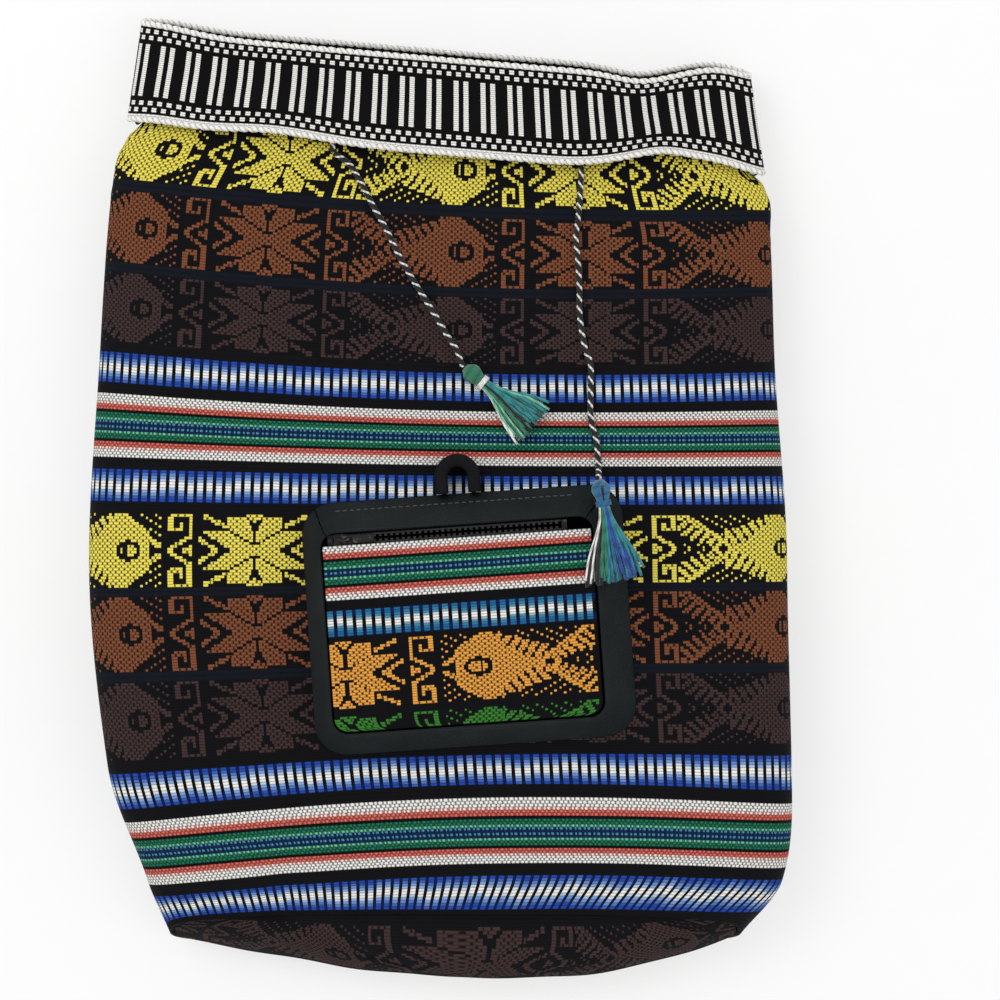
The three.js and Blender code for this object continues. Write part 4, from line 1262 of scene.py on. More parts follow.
@dataclass
class PouchForm:
    """Frame and outlines of the pouch, turned on the front of the bag."""

    form: BagForm
    centre: Pair = (11.2, 148.8)
    turn: float = 4.0
    width: float = 148.0
    height: float = 116.0
    depth: float = 16.0
    corner: float = 15.0
    wall: float = 2.4
    inset_left: float = 7.4
    inset_right: float = 13.0
    inset_bottom: float = 8.7
    facing_run: float = 12.5
    panel_corner: float = 9.0
    slot: float = 5.0

    def __post_init__(self) -> None:
        """Works out the pouch's floor and the edges of its rim."""
        self.floor = float(self.form.front_height(*self.centre))
        self.left, self.right = -self.width / 2 + self.inset_left, self.width / 2 - self.inset_right
        self.bottom, self.top = -self.height / 2 + self.inset_bottom, self.height / 2 - self.facing_run

    def place(self, p: Array, q: Array, r: Array) -> Array:
        """Point of the bag's frame from one of the pouch's: turned, then moved to the pouch's middle."""
        turn = np.radians(self.turn)
        x = self.centre[0] + p * np.cos(turn) - q * np.sin(turn)
        y = self.centre[1] + p * np.sin(turn) + q * np.cos(turn)
        return np.stack(np.broadcast_arrays(x, y, self.floor + r), -1)

    def cloth(self, p: Array, q: Array) -> Array:
        """Height of the bag's cloth in the pouch's frame."""
        spot = self.place(p, q, 0.0)
        return self.form.front_height(spot[..., 0], spot[..., 1]) - self.floor

    def outline(self, box: tuple[float, ...], radius: float, inset: float, steps: tuple[int, int]) -> Array:
        """Rounded outline from the top left corner anticlockwise, each side parted into equal steps.

        Args:
            box: Left, right, lower and upper edge.
            radius: Radius of the corners.
            inset: How far inside these the outline runs.
            steps: Steps of each corner and of each side.

        Returns:
            Points of the outline.
        """
        left, right, bottom, top = box[0] + inset, box[1] - inset, box[2] + inset, box[3] - inset
        radius -= inset
        middles = np.array([
            (left + radius, top - radius), (left + radius, bottom + radius), (right - radius, bottom + radius),
            (right - radius, top - radius)])
        turn = np.radians(np.array([90, 180, 270, 360])[:, None] + np.linspace(0, 90, steps[0] + 1)[None])
        arcs = middles[:, None] + radius * np.stack([np.cos(turn), np.sin(turn)], -1)
        share = np.linspace(0, 1, steps[1] + 1)[None, 1:-1, None]
        sides = arcs[:, -1:] * (1 - share) + np.roll(arcs[:, :1], -1, 0) * share
        return np.concatenate([arcs, sides], 1).reshape(-1, 2)

    def rest_height(self, x: Array, y: Array) -> Array:
        """Height of what lies under a cord or tassel, raised to clear the edges of the pouch.

        Args:
            x: Place across the bag.
            y: Place along it.

        Returns:
            Heights above the floor.
        """
        turn = np.radians(self.turn)
        under = self.form.front_height(x, y)
        for aside, ahead in ((0, 0), (4, 0), (-4, 0), (0, 4), (0, -4)):
            dx, dy = x + aside - self.centre[0], y + ahead - self.centre[1]
            p, q = dx * np.cos(turn) + dy * np.sin(turn), dy * np.cos(turn) - dx * np.sin(turn)
            climb = np.minimum.reduce([
                (p + self.width / 2) / self.inset_left, (self.width / 2 - p) / self.inset_right,
                (q + self.height / 2) / self.inset_bottom, (self.height / 2 - q) / self.facing_run])
            top = self.floor + self.depth * np.minimum(climb, 1) + 1.6
            under = np.where(climb > 0, np.maximum(under, top), under)
        return under


@dataclass
class TasselPlan:
    """One tassel: skirt length, spread, direction in degrees, and the yarns of its skirt with their shares."""

    skirt: float
    spread: float
    turn: float
    yarns: tuple[tuple[Dye, float], ...]
    head: Dye
    binding: Dye
    slot: str


@dataclass
class Drawstring:
    """Twisted cord: the run under the collar, and two free ends with tassels."""

    form: BagForm
    pouch: PouchForm
    diameter: float = 2.9
    ease: float = 1.8
    lay: float = 5.6
    skirt_yarns: int = 84
    head_yarns: int = 22
    golden_turn: float = 2.39996
    left_exit: Pair = (-52.8, 366.5)
    right_exit: Pair = (63.6, 360.5)
    left_route: tuple[Pair, ...] = (
        (-45.1, 360.8), (-39.9, 352.6), (-33.2, 339.7), (-27.5, 329.7), (-21.8, 317.8), (-16.2, 307.9), (-9.2, 296.6),
        (-3.6, 287.6), (1, 279.8), (4.2, 275.2), (6.1, 271.5), (7.5, 267.4), (8.8, 265.1))
    right_route: tuple[Pair, ...] = (
        (63.2, 352.4), (62.7, 345), (61.7, 334), (60.7, 326), (61.5, 316.4), (61.9, 309.7), (62.3, 302.3),
        (62.3, 290.6), (63.6, 279.8), (64.9, 273.4), (67.2, 266.8), (67.4, 255.8), (67.2, 242.9), (68.1, 237.4),
        (69.8, 231.4), (70.7, 219.9), (70.6, 213.5))
    cord_finish: YarnFinish = YarnFinish("twisted cord", 0.25)
    yarn_finish: YarnFinish = YarnFinish("tassel yarn", 0.4, 0.3)

    @property
    def lift(self) -> float:
        """Height of the cord's middle above what it lies on."""
        return self.diameter / 2 + 0.3 + self.ease / 2

    def twisted(self, path: Array) -> Sculpt:
        """Three strands wound round a path, two black and one white.

        Each strand's middle goes round the path once a lay, a third of a turn from the next.

        Args:
            path: Points along the cord's middle.

        Returns:
            The strands.
        """
        side, up = frames(path)
        run = run_along(path)
        radius = self.diameter / 2
        cord = Sculpt()
        for strand, dye in enumerate((Dye.BLACK, Dye.BLACK, Dye.WHITE)):
            turn = (2 * np.pi * (run / self.lay + strand / 3))[:, None]
            middle = path + 0.52 * radius * (np.cos(turn) * side + np.sin(turn) * up)
            section = circle(8, (0.42 if dye is Dye.WHITE else 0.5) * radius)
            rings = middle[:, None] + section[None, :, :1] * side[:, None] + section[None, :, 1:] * up[:, None]
            cord.tube(rings, dye.value, scale=(0.5, 0.5))
        return cord

    def run(self) -> Piece:
        """The run from the left exit round the back to the right exit, close under the collar's foot."""
        def at_exit(spot: Pair) -> list[Array]:
            """Points where the cord turns out from under the collar."""
            x, y = spot
            spots = np.array([[x, y], [x + np.sign(x), y + 7]])
            level = self.form.front_height(spots[:, 0], spots[:, 1]) + self.lift
            return list(np.column_stack([spots, level]))

        rise = self.form.collar_foot + self.diameter
        share = np.array([self.left_exit[0], self.right_exit[0]]) / self.form.half_width(np.array(rise))
        angle = np.arccos(np.sign(share) * np.abs(share) ** (self.form.front_squareness / 2))
        around = np.linspace(angle[0] + 0.16, 2 * np.pi + angle[1] - 0.16, 45)
        dip = 5.0 * np.abs(np.cos(around)) ** 12
        ring = self.form.point(rise - dip, around, self.diameter / 2 + 0.3 + self.ease)
        ring[:, 1] += self.form.foot_lift(ring[:, 0], around)
        path = smooth_path([*at_exit(self.left_exit), *ring, *at_exit(self.right_exit)[::-1]], 0.9)
        return self.twisted(path).piece("drawstring_round", self.cord_finish.material(), "cord", ("drawstring_run",))

    def tassel(self, side: str, end: Pair, plan: TasselPlan) -> list[Piece]:
        """A tassel lying on the bag: looped yarns over a core, a bound waist, and a spread skirt of single yarns.

        Yarns start on a disc at the waist; each keeps its share of the width and thickness along the skirt and
        lies a little aside by a slow wave of its own.

        Args:
            side: Left or right.
            end: Where the cord ends.
            plan: Sizes and yarns.

        Returns:
            The yarns and the binding.
        """
        rng = np.random.default_rng(11 if side == "left" else 23)
        turn = np.radians(plan.turn)
        ahead, aside = np.array([np.cos(turn), np.sin(turn)]), np.array([-np.sin(turn), np.cos(turn)])
        start = 0.3 + self.diameter / 4
        waist, neck = start + 9.0, start + 12.0
        tip = neck + plan.skirt
        head = ((start, 1.8), (start + 3.6, 4.4), (waist, 2.8), (neck, 2.8))
        half_width = Profile((*head, (tip - plan.skirt / 3, plan.spread / 2.6), (tip, plan.spread / 2)))
        half_high = Profile((*head, (tip - plan.skirt / 2, 3.0), (tip, 2.0)))

        def spot(along: Array, out: Array, up: Array) -> Array:
            """Point of the tassel from its place along, aside and above its axis."""
            on_axis = np.array(end) + along[:, None] * ahead
            flat = on_axis + out[:, None] * aside
            rest = self.pouch.rest_height(on_axis[:, 0], on_axis[:, 1])
            under = np.maximum(self.pouch.rest_height(flat[:, 0], flat[:, 1]), rest - 3.0)
            drape = smoothstep(along, neck, tip)
            ends = self.pouch.rest_height(*(np.array(end) + np.outer([start, neck], ahead)).T)
            straight = ends[0] + (ends[1] - ends[0]) * (along - start) / (neck - start)
            level = np.where(along > neck, rest * (1 - drape) + under * drape, straight)
            level = level + np.maximum(half_high(along), 2.8) + 1.7
            return np.column_stack([flat, level + up])

        yarns = Sculpt()
        names, shares = zip(*plan.yarns)
        edges = np.cumsum(shares) / np.sum(shares)
        for number in range(self.skirt_yarns):
            radius = np.sqrt((number + 0.5) / self.skirt_yarns)
            spin = number * self.golden_turn
            a, b = radius * np.cos(spin), radius * np.sin(spin)
            along = np.linspace(neck - 1.5, tip - rng.uniform(0, 0.16) * plan.skirt, 14)
            share = smoothstep(along, neck, tip)
            sway = rng.uniform(-1.6, 1.6) * np.sin(share * rng.uniform(2, 5) + rng.uniform(0, 6)) * share
            out = a * (half_width(along) - 0.6) + sway
            up = b * (half_high(along) - 0.5) + 0.5 * np.sin(share * 5 + spin) * share
            place = float(np.clip((1 - a) / 2 + rng.uniform(-0.13, 0.13), 0, 0.999))
            dye = names[int(np.searchsorted(edges, place, side="right"))]
            yarns.tube(carried(spot(along, out, up), circle(6, rng.uniform(0.5, 0.66))), dye.value, scale=(0.5, 0.8))
        for number in range(self.head_yarns):
            spin = 2 * np.pi * number / self.head_yarns
            along = np.linspace(start, waist + 2.0, 9)
            out, up = (half_width(along) - 0.55) * np.cos(spin), (half_high(along) - 0.55) * np.sin(spin)
            shade = plan.head if number % 5 else names[number % len(names)]
            yarns.tube(carried(spot(along, out, up), circle(6, 0.66)), shade.value, scale=(0.5, 0.8))
        core = np.linspace(start + 0.4, waist + 2.0, 8)
        core_path = spot(core, 0 * core, 0 * core)
        yarns.tube(carried(core_path, circle(12), size=half_high(core) - 0.9), plan.head.value)
        skirt = yarns.piece(f"tassel_{side}", self.yarn_finish.material(), plan.slot, (f"tassel_{side}_yarns",))
        wrap = np.linspace(0, 1, 110)
        spin = 2 * np.pi * 3.6 * wrap
        turns = spot(waist + 0.5 + 2.0 * wrap, 3.25 * np.cos(spin), 3.25 * np.sin(spin))
        binding = Sculpt()
        binding.tube(carried(turns, circle(7, 0.42)), plan.binding.value, scale=(0.5, 0.5))
        bound = binding.piece(f"tassel_{side}_wrap", YarnFinish(f"binding thread {side}").material(), "binding_thread",
                              (f"tassel_{side}_binding",))
        return [skirt, bound]

    def end(self, side: str, exit_spot: Pair, route: tuple[Pair, ...], plan: TasselPlan) -> None:
        """A free end, from the collar to its tassel.

        Args:
            side: Left or right.
            exit_spot: Where it leaves the collar.
            route: Points that it passes, across and along the bag.
            plan: Its tassel.
        """
        first = np.array(exit_spot) + 0.9 * unit(np.array(route[0]) - np.array(exit_spot))
        spots = np.vstack([first, np.array(route)])
        level = self.pouch.rest_height(spots[:, 0], spots[:, 1]) + self.lift
        path = smooth_path(np.column_stack([spots, level]), 0.45)
        cord = self.twisted(path).piece(f"drawstring_{side}_end", self.cord_finish.material(), "cord",
                                        (f"drawstring_{side}",))
        pieces = self.tassel(side, route[-1], plan)
        line = (path + model_offset()) * 0.001
        LOG.info("%s end of the drawstring: %.0f mm", side, path_length(path))

    def build(self) -> None:
        """Makes the run and the two ends."""
        self.run()
        green = ((Dye.MINT, 0.6), (Dye.TURQUOISE, 1.2), (Dye.PINE, 1.2), (Dye.TURQUOISE, 1.4), (Dye.BLACK, 0.9),
                 (Dye.GREEN, 1.4), (Dye.MINT, 0.6), (Dye.WHITE, 0.9))
        blue = ((Dye.TURQUOISE, 1.5), (Dye.BLUE, 1.6), (Dye.TEAL, 1.0), (Dye.TURQUOISE, 1.1), (Dye.GREEN, 0.9),
                (Dye.BLACK, 1.5), (Dye.WHITE, 0.5))
        left = TasselPlan(30, 27, -40, green, Dye.GREEN, Dye.WHITE, "green_yarn")
        right = TasselPlan(35, 31, -81, blue, Dye.TEAL, Dye.TEAL, "blue_yarn")
        self.end("left", self.left_exit, self.left_route, left)
        self.end("right", self.right_exit, self.right_route, right)


@dataclass
class Pouch:
    """Zipped pouch: woven panel, cotton gusset and facing, stitching, zip and tape loop."""

    form: PouchForm
    loom: Loom
    cloth: ClothFinish = ClothFinish("pouch cloth")
    cotton: CanvasFinish = CanvasFinish("grey cotton", Dye.GREY.value, 0.7, 0.25)
    tape: CanvasFinish = CanvasFinish("black tape", srgb(15, 15, 17), 0.8, 0.2)
    nylon: HardFinish = HardFinish("black nylon", srgb(16, 16, 18), srgb(48, 48, 52), 0.0, 0.45)
    metal: HardFinish = HardFinish("blackened metal", srgb(44, 43, 42), srgb(104, 100, 96), 0.85, 0.46)
    corner_steps: int = 12
    side_steps: int = 30
    panel_rows: int = 72
    panel_columns: int = 112
    nose: float = 51.2
    crown: float = 3.0
    groove: float = 0.34
    stitches: int = 34
    lining_inset: float = 7.0
    chain_start: float = -59.0
    chain_length: float = 104.0
    chain_drop: float = 6.0
    tape_start: float = 2.9
    lower_tape_end: Pair = (6.0, 3.0)
    loop_width: float = 21.0
    loop_height: float = 18.0
    loop_depth: float = 10.0
    loop_tape: float = 6.0
    loop_along: float = -0.7

    def panel(self) -> Piece:
        """Woven panel below the slot, crowned in the middle and rounded at its lower corners."""
        form = self.form
        gap = form.wall + 0.3
        left, right, bottom = form.left + gap, form.right - gap, form.bottom + gap
        top, radius = form.top - form.wall - form.slot, form.panel_corner - gap
        edges = cell_edges(self.panel_columns)
        v, u = np.meshgrid(np.linspace(1, 0, self.panel_rows + 1), edges, indexing="ij")
        q = bottom + (top - bottom) * v
        into = np.clip(bottom + radius - q, 0, radius)
        inset = radius - np.sqrt(np.maximum(radius ** 2 - into ** 2, 0))
        p = left + inset + (right - left - 2 * inset) * u
        across, along = 2 * u - 1, 2 * v - 1
        crown = self.crown * np.maximum(1 - across ** 2, 0) * np.maximum(1 - along ** 2, 0)
        crown += 0.25 * np.sin(p / 11) * np.sin(q / 9) * (1 - across ** 2) * (1 - along ** 2)
        outer = form.place(p, q, form.depth + crown)
        inner = form.place(p, q, form.depth + crown - 1.8)[::4, ::4]
        plan = (BandPlan(Band.STRIPES, 21), BandPlan(Band.PLAIN, 4), BandPlan(Band.BARS, 10), BandPlan(Band.PLAIN, 2),
                BandPlan(Band.MOTIF, 26, Dye.ORANGE), BandPlan(Band.PLAIN, 3), BandPlan(Band.MOTIF, 26, Dye.LEAF, 6))
        places = (edges[1:] + edges[:-1]) / 2 * (right - left)
        colour, lay = self.loom.weave(plan, places, self.nose, True, (Dye.TEAL, Dye.POOL))
        panel = Sculpt()
        panel.shell(outer, inner, colour, lay)
        made = panel.piece("pouch_front", self.cloth.material(), "pouch_cloth", ("pouch_panel",))
        return made

    def wall(self, name: str, node: str, start: float, end: float, padded: bool) -> Piece:
        """A stretch of the pouch's wall, leaning in from the cloth to the rim with a rounded lip.

        Each point lies between the foot and the rim outline; the wall swells between them, and over its last
        tenth the outer face rounds in and the inner face rounds out.

        Args:
            name: Its name.
            node: The solid that it stands for.
            start: First place on the outline, in steps of the frame's outline.
            end: Last place.
            padded: True for the facing, which is padded below a sewn groove.

        Returns:
            The piece.
        """
        form = self.form
        half_w, half_h, rows = form.width / 2, form.height / 2, 24
        steps = (self.corner_steps, self.side_steps)
        foot_box, rim_box = (-half_w, half_w, -half_h, half_h), (form.left, form.right, form.bottom, form.top)
        outlines = [
            form.outline(box, radius, inset, steps) for inset in (0.0, form.wall)
            for box, radius in ((foot_box, form.corner), (rim_box, form.panel_corner))]
        count = int(round((end - start) * 4))
        spots = np.linspace(start, end, count + 1)
        v = np.linspace(0, 1, rows + 1)[:, None]
        roll = 1 - np.sqrt(1 - np.clip((v - 0.88) / 0.12, 0, 1) ** 2)
        groove = np.exp(-(((v - self.groove) / 0.05) ** 2))
        ripple = 0.4 * np.sin(spots * 0.9 + 2 * np.sin(spots * 0.21))[None] * np.sin(np.pi * v)
        swell = 1.2 * np.sin(np.pi * v) + ripple
        if padded:
            pad, welt = np.clip((v - 0.3) / 0.7, 0, 1), np.clip(v / self.groove, 0, 1)
            swell = 1.8 * np.sin(np.pi * pad) ** 0.8 + 0.5 * np.sin(np.pi * welt) - 0.5 * groove + 0.5 * ripple

        def at(outline: Array) -> Array:
            """Points of an outline at the spots."""
            size = len(outline)
            low = np.floor(spots).astype(int)
            part = (spots - low)[:, None]
            return outline[low % size] * (1 - part) + outline[(low + 1) % size] * part

        def face(low: Array, high: Array, other_low: Array, other_high: Array, rounding: float,
                 swelling: Array) -> Array:
            """One face of the wall, drawn towards the other face over the lip."""
            flat = low[None] + (high - low)[None] * v[..., None]
            other = other_low[None] + (other_high - other_low)[None] * v[..., None]
            flat = flat + (other - flat) * (roll * rounding)[..., None]
            begin = form.cloth(low[:, 0], low[:, 1])[None] + 0.5
            level = begin + (form.depth - begin) * v + swelling - 0.6 * roll
            return form.place(flat[..., 0], flat[..., 1], level)

        foot, rim, foot_in, rim_in = (at(outline) for outline in outlines)
        outer = face(foot, rim, foot_in, rim_in, 0.5, swell)
        inner = face(foot_in, rim_in, foot, rim, 0.46, 0 * v)
        wall = Sculpt()
        wall.shell(outer, inner, Dye.GREY.value, lining=Dye.GREY.value, scale=(0.9, 0.7))
        return wall.piece(name, self.cotton.material(), "grey_cotton", (node,))

    def stitching(self) -> Piece:
        """Pale stitches along the sewn groove of the facing: short rounded threads, each lying on the cloth."""
        form, share = self.form, self.groove
        thread = Sculpt()
        ends = np.linspace(form.right - 10, form.left + 8, self.stitches + 1)
        for first, last in zip(ends[:-1], ends[1:]):
            p = np.linspace(first, first + (last - first) * 0.66, 6)
            q = np.full_like(p, form.height / 2 - form.facing_run * share)
            begin = form.cloth(p, np.full_like(p, form.height / 2)) + 0.5
            level = begin + (form.depth - begin) * share + 0.25 + 0.25 * np.sin(np.linspace(0, np.pi, 6))
            size = 0.34 * np.sqrt(np.sin(np.linspace(0.3, np.pi - 0.3, 6)))
            thread.tube(carried(form.place(p, q, level), circle(6), size=size), srgb(70, 76, 78))
        return thread.piece("facing_stitches", YarnFinish("grey thread").material(), "grey_cotton")

    def lining(self) -> Piece:
        """Black lining inside the pouch, lying on the front of the bag."""
        form, inset = self.form, self.lining_inset
        p, q = np.meshgrid(np.linspace(inset - form.width / 2, form.width / 2 - inset, 49),
                           np.linspace(form.height / 2 - inset, inset - form.height / 2, 41))
        level = form.cloth(p, q) + 1.3 + 0.2 * np.sin(p / 9) * np.sin(q / 7)
        lining = Sculpt()
        lining.shell(form.place(p, q, level + 0.4), form.place(p, q, level)[::4, ::4], Dye.BLACK.value,
                     lining=Dye.BLACK.value, scale=(2.8, 2.5))
        made = lining.piece("pouch_lining", self.tape.material(), "black_tape")
        return made

    def zip_tape(self, name: str, node: str, near: Pair, far: Pair) -> Piece:
        """A zip tape: a thin strip from the teeth to the cloth, dipping a little between.

        Args:
            name: Its name.
            node: The solid that it stands for.
            near: Place along the pouch and height beside the teeth.
            far: The same at the cloth.

        Returns:
            The piece.
        """
        low, high = np.array(near), np.array(far)
        across = unit(high - low)
        lift = np.array([-across[1], across[0]]) * 0.35
        share = np.linspace(0, 1, 7)[:, None]
        along = np.linspace(self.chain_start, self.chain_start + self.chain_length, 61)[None]
        dip = 0.12 * np.sin(np.pi * share) * np.sin(along / 7)

        def layer(sign: float) -> Array:
            """One face of the strip."""
            q = low[0] + (high[0] - low[0]) * share + sign * lift[0] + 0 * along
            r = low[1] + (high[1] - low[1]) * share + sign * lift[1] + dip
            return self.form.place(along + 0 * share, q, r)

        strip = Sculpt()
        strip.shell(layer(1.0), layer(-1.0), Dye.BLACK.value, lining=Dye.BLACK.value, scale=(1.7, 1.0))
        return strip.piece(name, self.tape.material(), "black_tape", (node,))

    def loop(self) -> Piece:
        """Tape loop standing on edge: a rounded strip carried up, round half a circle and down again."""
        form = self.form
        foot = form.height / 2 + 0.3
        sides = np.array([-0.5, 0.5, -0.5, 0.5, 0.0]) * self.loop_width + self.loop_along
        ahead = np.array([0, 0, 1, 1, 1]) * self.loop_height + foot
        low = float(form.cloth(sides, ahead).max()) + 0.3
        radius = (self.loop_width - self.loop_tape) / 2
        straight = self.loop_height - self.loop_width / 2
        turn = np.linspace(np.pi, 0, 37)
        rise = np.linspace(0, straight, 9)[:-1]
        p = np.concatenate([np.full(8, -radius), radius * np.cos(turn), np.full(8, radius)])
        q = np.concatenate([rise, straight + radius * np.sin(turn), rise[::-1]])
        round_it = np.linspace(0, 2 * np.pi, 20, endpoint=False)
        power = 0.42
        thick = np.sign(np.cos(round_it)) * np.abs(np.cos(round_it)) ** power * self.loop_tape / 2
        wide = np.sign(np.sin(round_it)) * np.abs(np.sin(round_it)) ** power * self.loop_depth / 2
        path = np.column_stack([p, q, np.zeros_like(p)])
        side, _ = frames(path)
        flat = path[:, None, :2] + thick[None, :, None] * side[:, None, :2]
        level = low + self.loop_depth / 2 + wide[None] + 0 * flat[..., 0]
        rings = form.place(flat[..., 0] + self.loop_along, flat[..., 1] + foot, level)
        loop = Sculpt()
        loop.tube(rings, Dye.BLACK.value, scale=(1.3, 1.1))
        return loop.piece("tape_loop", self.tape.material(), "black_tape", ("pouch_loop",))

    def build(self) -> None:
        """Makes the pouch's pieces and dresses the zip."""
        per_side = self.corner_steps + self.side_steps
        left_mitre = 2 / 5 * self.corner_steps
        right_mitre = 3 * per_side + 3 / 5 * self.corner_steps
        self.wall("pouch_wall", "pouch_gusset", left_mitre, right_mitre, False)
        facing = self.wall("pouch_lip", "pouch_facing", right_mitre + 0.4, 4 * per_side + left_mitre - 0.4, True)
        self.panel()
        self.lining()
        self.stitching()
        self.loop()
        form = self.form
        slot_top, chain_end = form.top - form.wall, self.chain_start + self.chain_length
        level, middle, start = form.depth - self.chain_drop, slot_top - form.slot / 2, self.tape_start
        foot = float(min(form.cloth(np.array([self.chain_start, 0.0, chain_end]), np.full(3, form.height / 2))))
        slope = np.array([form.facing_run, foot - form.depth])
        into = unit(np.array([slope[1], -slope[0]])) * 1.4
        upper = np.array([slot_top, form.depth]) + 0.7 * slope + into
        self.zip_tape("zip_strip_upper", "zip_tape_upper", (middle + start, level), tuple(upper))
        lower = (slot_top - form.slot - self.lower_tape_end[0], form.depth - self.lower_tape_end[1])
        self.zip_tape("zip_strip_lower", "zip_tape_lower", (middle - start, level), lower)
        nylon, metal = self.nylon.material(), self.metal.material()
        for node in ("zip_teeth_upper", "zip_teeth_lower"):
            dress_node(node, nylon)
        for node in ("zip_stop_left", "zip_stop_right", "zip_slider", "zip_pull"):
            dress_node(node, metal)


def dress_node(node: str, material: Material) -> None:
    """Gives a solid of the frame a finish in each of its slots."""
    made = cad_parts[node]
    for place in range(max(len(made.material_slots), 1)):
        if place < len(made.data.materials):
            made.data.materials[place] = material
        else:
            made.data.materials.append(material)
    LOG.info("%s: finished as %s", node, material.name)


@dataclass
class Straps:
    """Two shoulder straps of the collar's band, flat under the back."""

    form: BagForm
    width: float = 38.0
    thickness: float = 2.2
    top_spacing: float = 74.0
    foot_spacing: float = 196.0
    bow: float = 34.0
    foot_rise: float = -5.0
    rows: int = 352
    columns: int = 28
    # The last number darkens the edges of each row of weft as painted shade
    finish: ClothFinish = ClothFinish("strap band", Dye.BLACK.value, 0.5, 0.42)

    def pattern(self) -> tuple[Array, Array]:
        """White edges, two rows of checked dots each side, and pairs of bars across black.

        Returns:
            Colours and ways of lying by row and column.
        """
        row, column = np.meshgrid(np.arange(self.rows), np.arange(self.columns), indexing="ij")
        inward = np.minimum(column, self.columns - 1 - column)
        bar = paired_bars(row) & (inward >= 6)
        dots = (inward >= 2) & (inward < 6) & ((row // 2 + (inward - 2) // 2) % 2 == 0)
        white = (bar | dots | (inward < 2))[..., None]
        lay = np.zeros((self.rows, self.columns, 3))
        lay[..., 1] = 0.2
        return np.where(white, Dye.WHITE.value, Dye.BLACK.value), lay

    def strap(self, name: str, node: str, side: int) -> Piece:
        """One strap: a flat band whose edges are two alike curves, each a quadratic through its bow.

        Args:
            name: Its name.
            node: The solid that it stands for.
            side: -1 on the left and 1 on the right.

        Returns:
            The piece.
        """
        start, end = side * self.top_spacing / 2, side * self.foot_spacing / 2
        bow = (start + end) / 2 + side * self.bow
        t = np.linspace(0, 1, self.rows + 1)[:, None]
        offset = np.linspace(-0.5, 0.5, self.columns + 1)[None] * self.width
        foot = self.form.collar_foot
        top = foot + self.form.slide(np.full_like(offset, foot), start + offset, np.array(-self.form.seam_share)) - 0.9
        x = (1 - t) ** 2 * start + 2 * t * (1 - t) * bow + t ** 2 * end + offset
        y = (1 - t) ** 2 * top + t * (1 - t) * (top + self.foot_rise) + t ** 2 * self.foot_rise
        edge = np.clip((np.abs(offset) / self.width - 0.47) / 0.03, 0, 1)
        soft = 0.5 * (1 - np.sqrt(np.maximum(1 - edge ** 2, 0))) + 0 * t
        lower = np.stack(np.broadcast_arrays(x, y, 0.02 + soft), -1)
        upper = np.stack(np.broadcast_arrays(x, y, self.thickness - 0.1 - soft), -1)
        colour, lay = self.pattern()
        band = Sculpt()
        band.shell(lower, upper[::4, ::4], colour.reshape(-1, 3), lay.reshape(-1, 3), Dye.BLACK.value)
        return band.piece(name, self.finish.material(), "woven_tape", (node,))

    def build(self) -> None:
        """Makes both straps."""
        for name, node, side in (("shoulder_left", "strap_left", -1), ("shoulder_right", "strap_right", 1)):
            self.strap(name, node, side)


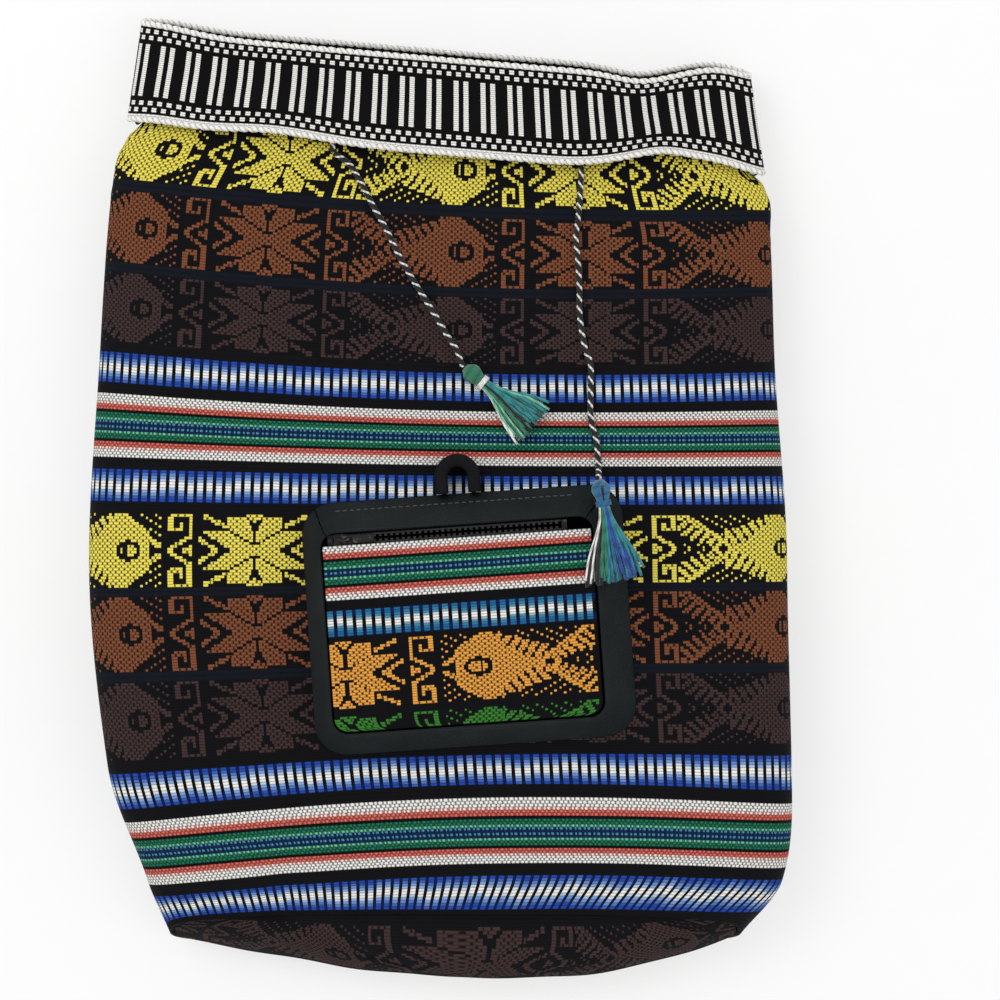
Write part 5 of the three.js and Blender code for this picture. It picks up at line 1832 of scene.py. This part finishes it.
@dataclass
class Studio:
    """Pale floor, soft lamps and the camera straight above."""

    camera_spot: Spot = (0.0280, -0.0011, 1.5)
    lens: float = 112.6
    key: float = 16.0
    key_spot: Spot = (-1.1, 0.9, 1.9)
    key_size: float = 1.2
    fill: float = 7.0
    fill_spot: Spot = (1.3, -0.7, 1.8)
    fill_size: float = 1.6
    sky: float = 0.72

    def floor(self) -> None:
        """Wide pale floor, a little lower at its far edges, white to the camera with the object's shadow on it."""
        count = 13
        span = np.linspace(-3.0, 3.0, count)
        x, y = np.meshgrid(span, span, indexing="ij")
        points = np.stack([x, y, -0.0004 - 0.00001 * (x * x + y * y)], -1).reshape(-1, 3)
        start = np.arange(count - 1)[:, None] * count + np.arange(count - 1)
        quads = np.stack([start, start + count, start + count + 1, start + 1], -1).reshape(-1, 4)
        mesh = bpy.data.meshes.new("floor")
        mesh.from_pydata(points.tolist(), [], quads.tolist())
        graph = Graph("white paper")
        grain = graph.noise(60.0, 3.0)
        paper = graph.mix(grain, srgb(252, 252, 252), srgb(248, 248, 248))
        graph.dress(None, Base_Color=paper, Roughness=0.95, Specular_IOR_Level=0.1)
        seen = graph.node("ShaderNodeLightPath")
        glow = graph.node("ShaderNodeEmission", None, {"Color": (1.0, 1.0, 1.0), "Strength": 1.0})
        shown = seen.math("MAXIMUM", seen.also("Is Glossy Ray")).math("MAXIMUM", seen.also("Is Transmission Ray"))
        mixed = graph.node("ShaderNodeMixShader", None, {0: shown * 0.62})
        graph.tree.links.new(graph.shader.outputs[0], mixed.socket.node.inputs[1])
        graph.tree.links.new(glow.socket, mixed.socket.node.inputs[2])
        graph.tree.links.new(mixed.socket, graph.output.inputs[0])
        mesh.materials.append(graph.material)
        made = bpy.data.objects.new("floor", mesh)
        bpy.context.scene.collection.objects.link(made)

    def lamp(self, name: str, spot: Spot, size: float, power: float) -> None:
        """A square soft lamp aimed at the middle of the floor.

        Args:
            name: Its name.
            spot: Where it hangs.
            size: Length of its sides.
            power: Power in watts.
        """
        light = bpy.data.lights.new(name, "AREA")
        light.size, light.energy = size, power
        made = bpy.data.objects.new(name, light)
        made.location = spot
        away = unit(np.array(spot))
        made.rotation_euler = (float(np.arccos(away[2])), 0.0, float(np.arctan2(away[0], -away[1])))
        bpy.context.scene.collection.objects.link(made)

    def build(self) -> None:
        """Makes the floor, the lamps, the sky and the camera."""
        scene = bpy.context.scene
        self.floor()
        self.lamp("key", self.key_spot, self.key_size, self.key)
        self.lamp("fill", self.fill_spot, self.fill_size, self.fill)
        world = bpy.data.worlds.new("studio")
        world.use_nodes = True
        scene.world = world
        nodes, links = world.node_tree.nodes, world.node_tree.links
        back = nodes["Background"]
        back.inputs["Color"].default_value = (1.0, 1.0, 1.0, 1.0)
        path = nodes.new("ShaderNodeLightPath")
        level = nodes.new("ShaderNodeMapRange")
        level.inputs["To Min"].default_value, level.inputs["To Max"].default_value = self.sky, 1.0
        links.new(path.outputs["Is Camera Ray"], level.inputs["Value"])
        links.new(level.outputs[0], back.inputs["Strength"])
        camera = bpy.data.cameras.new("camera")
        camera.lens, camera.sensor_width, camera.clip_end = self.lens, 36.0, 20.0
        made = bpy.data.objects.new("camera", camera)
        made.location = self.camera_spot
        scene.collection.objects.link(made)
        scene.camera = made
        scene.view_settings.view_transform = "Standard"


def main() -> None:
    """Builds the backpack and its studio."""
    logging.basicConfig(level=logging.INFO, format="%(message)s")
    form, loom = BagForm(), Loom()
    pouch_form = PouchForm(form)
    Studio().build()
    Drawstring(form, pouch_form).build()
    ClothBag(form, loom).build()
    Collar(form).build()
    Pouch(pouch_form, loom).build()
    Straps(form).build()


if __name__ == "__main__":
    main()
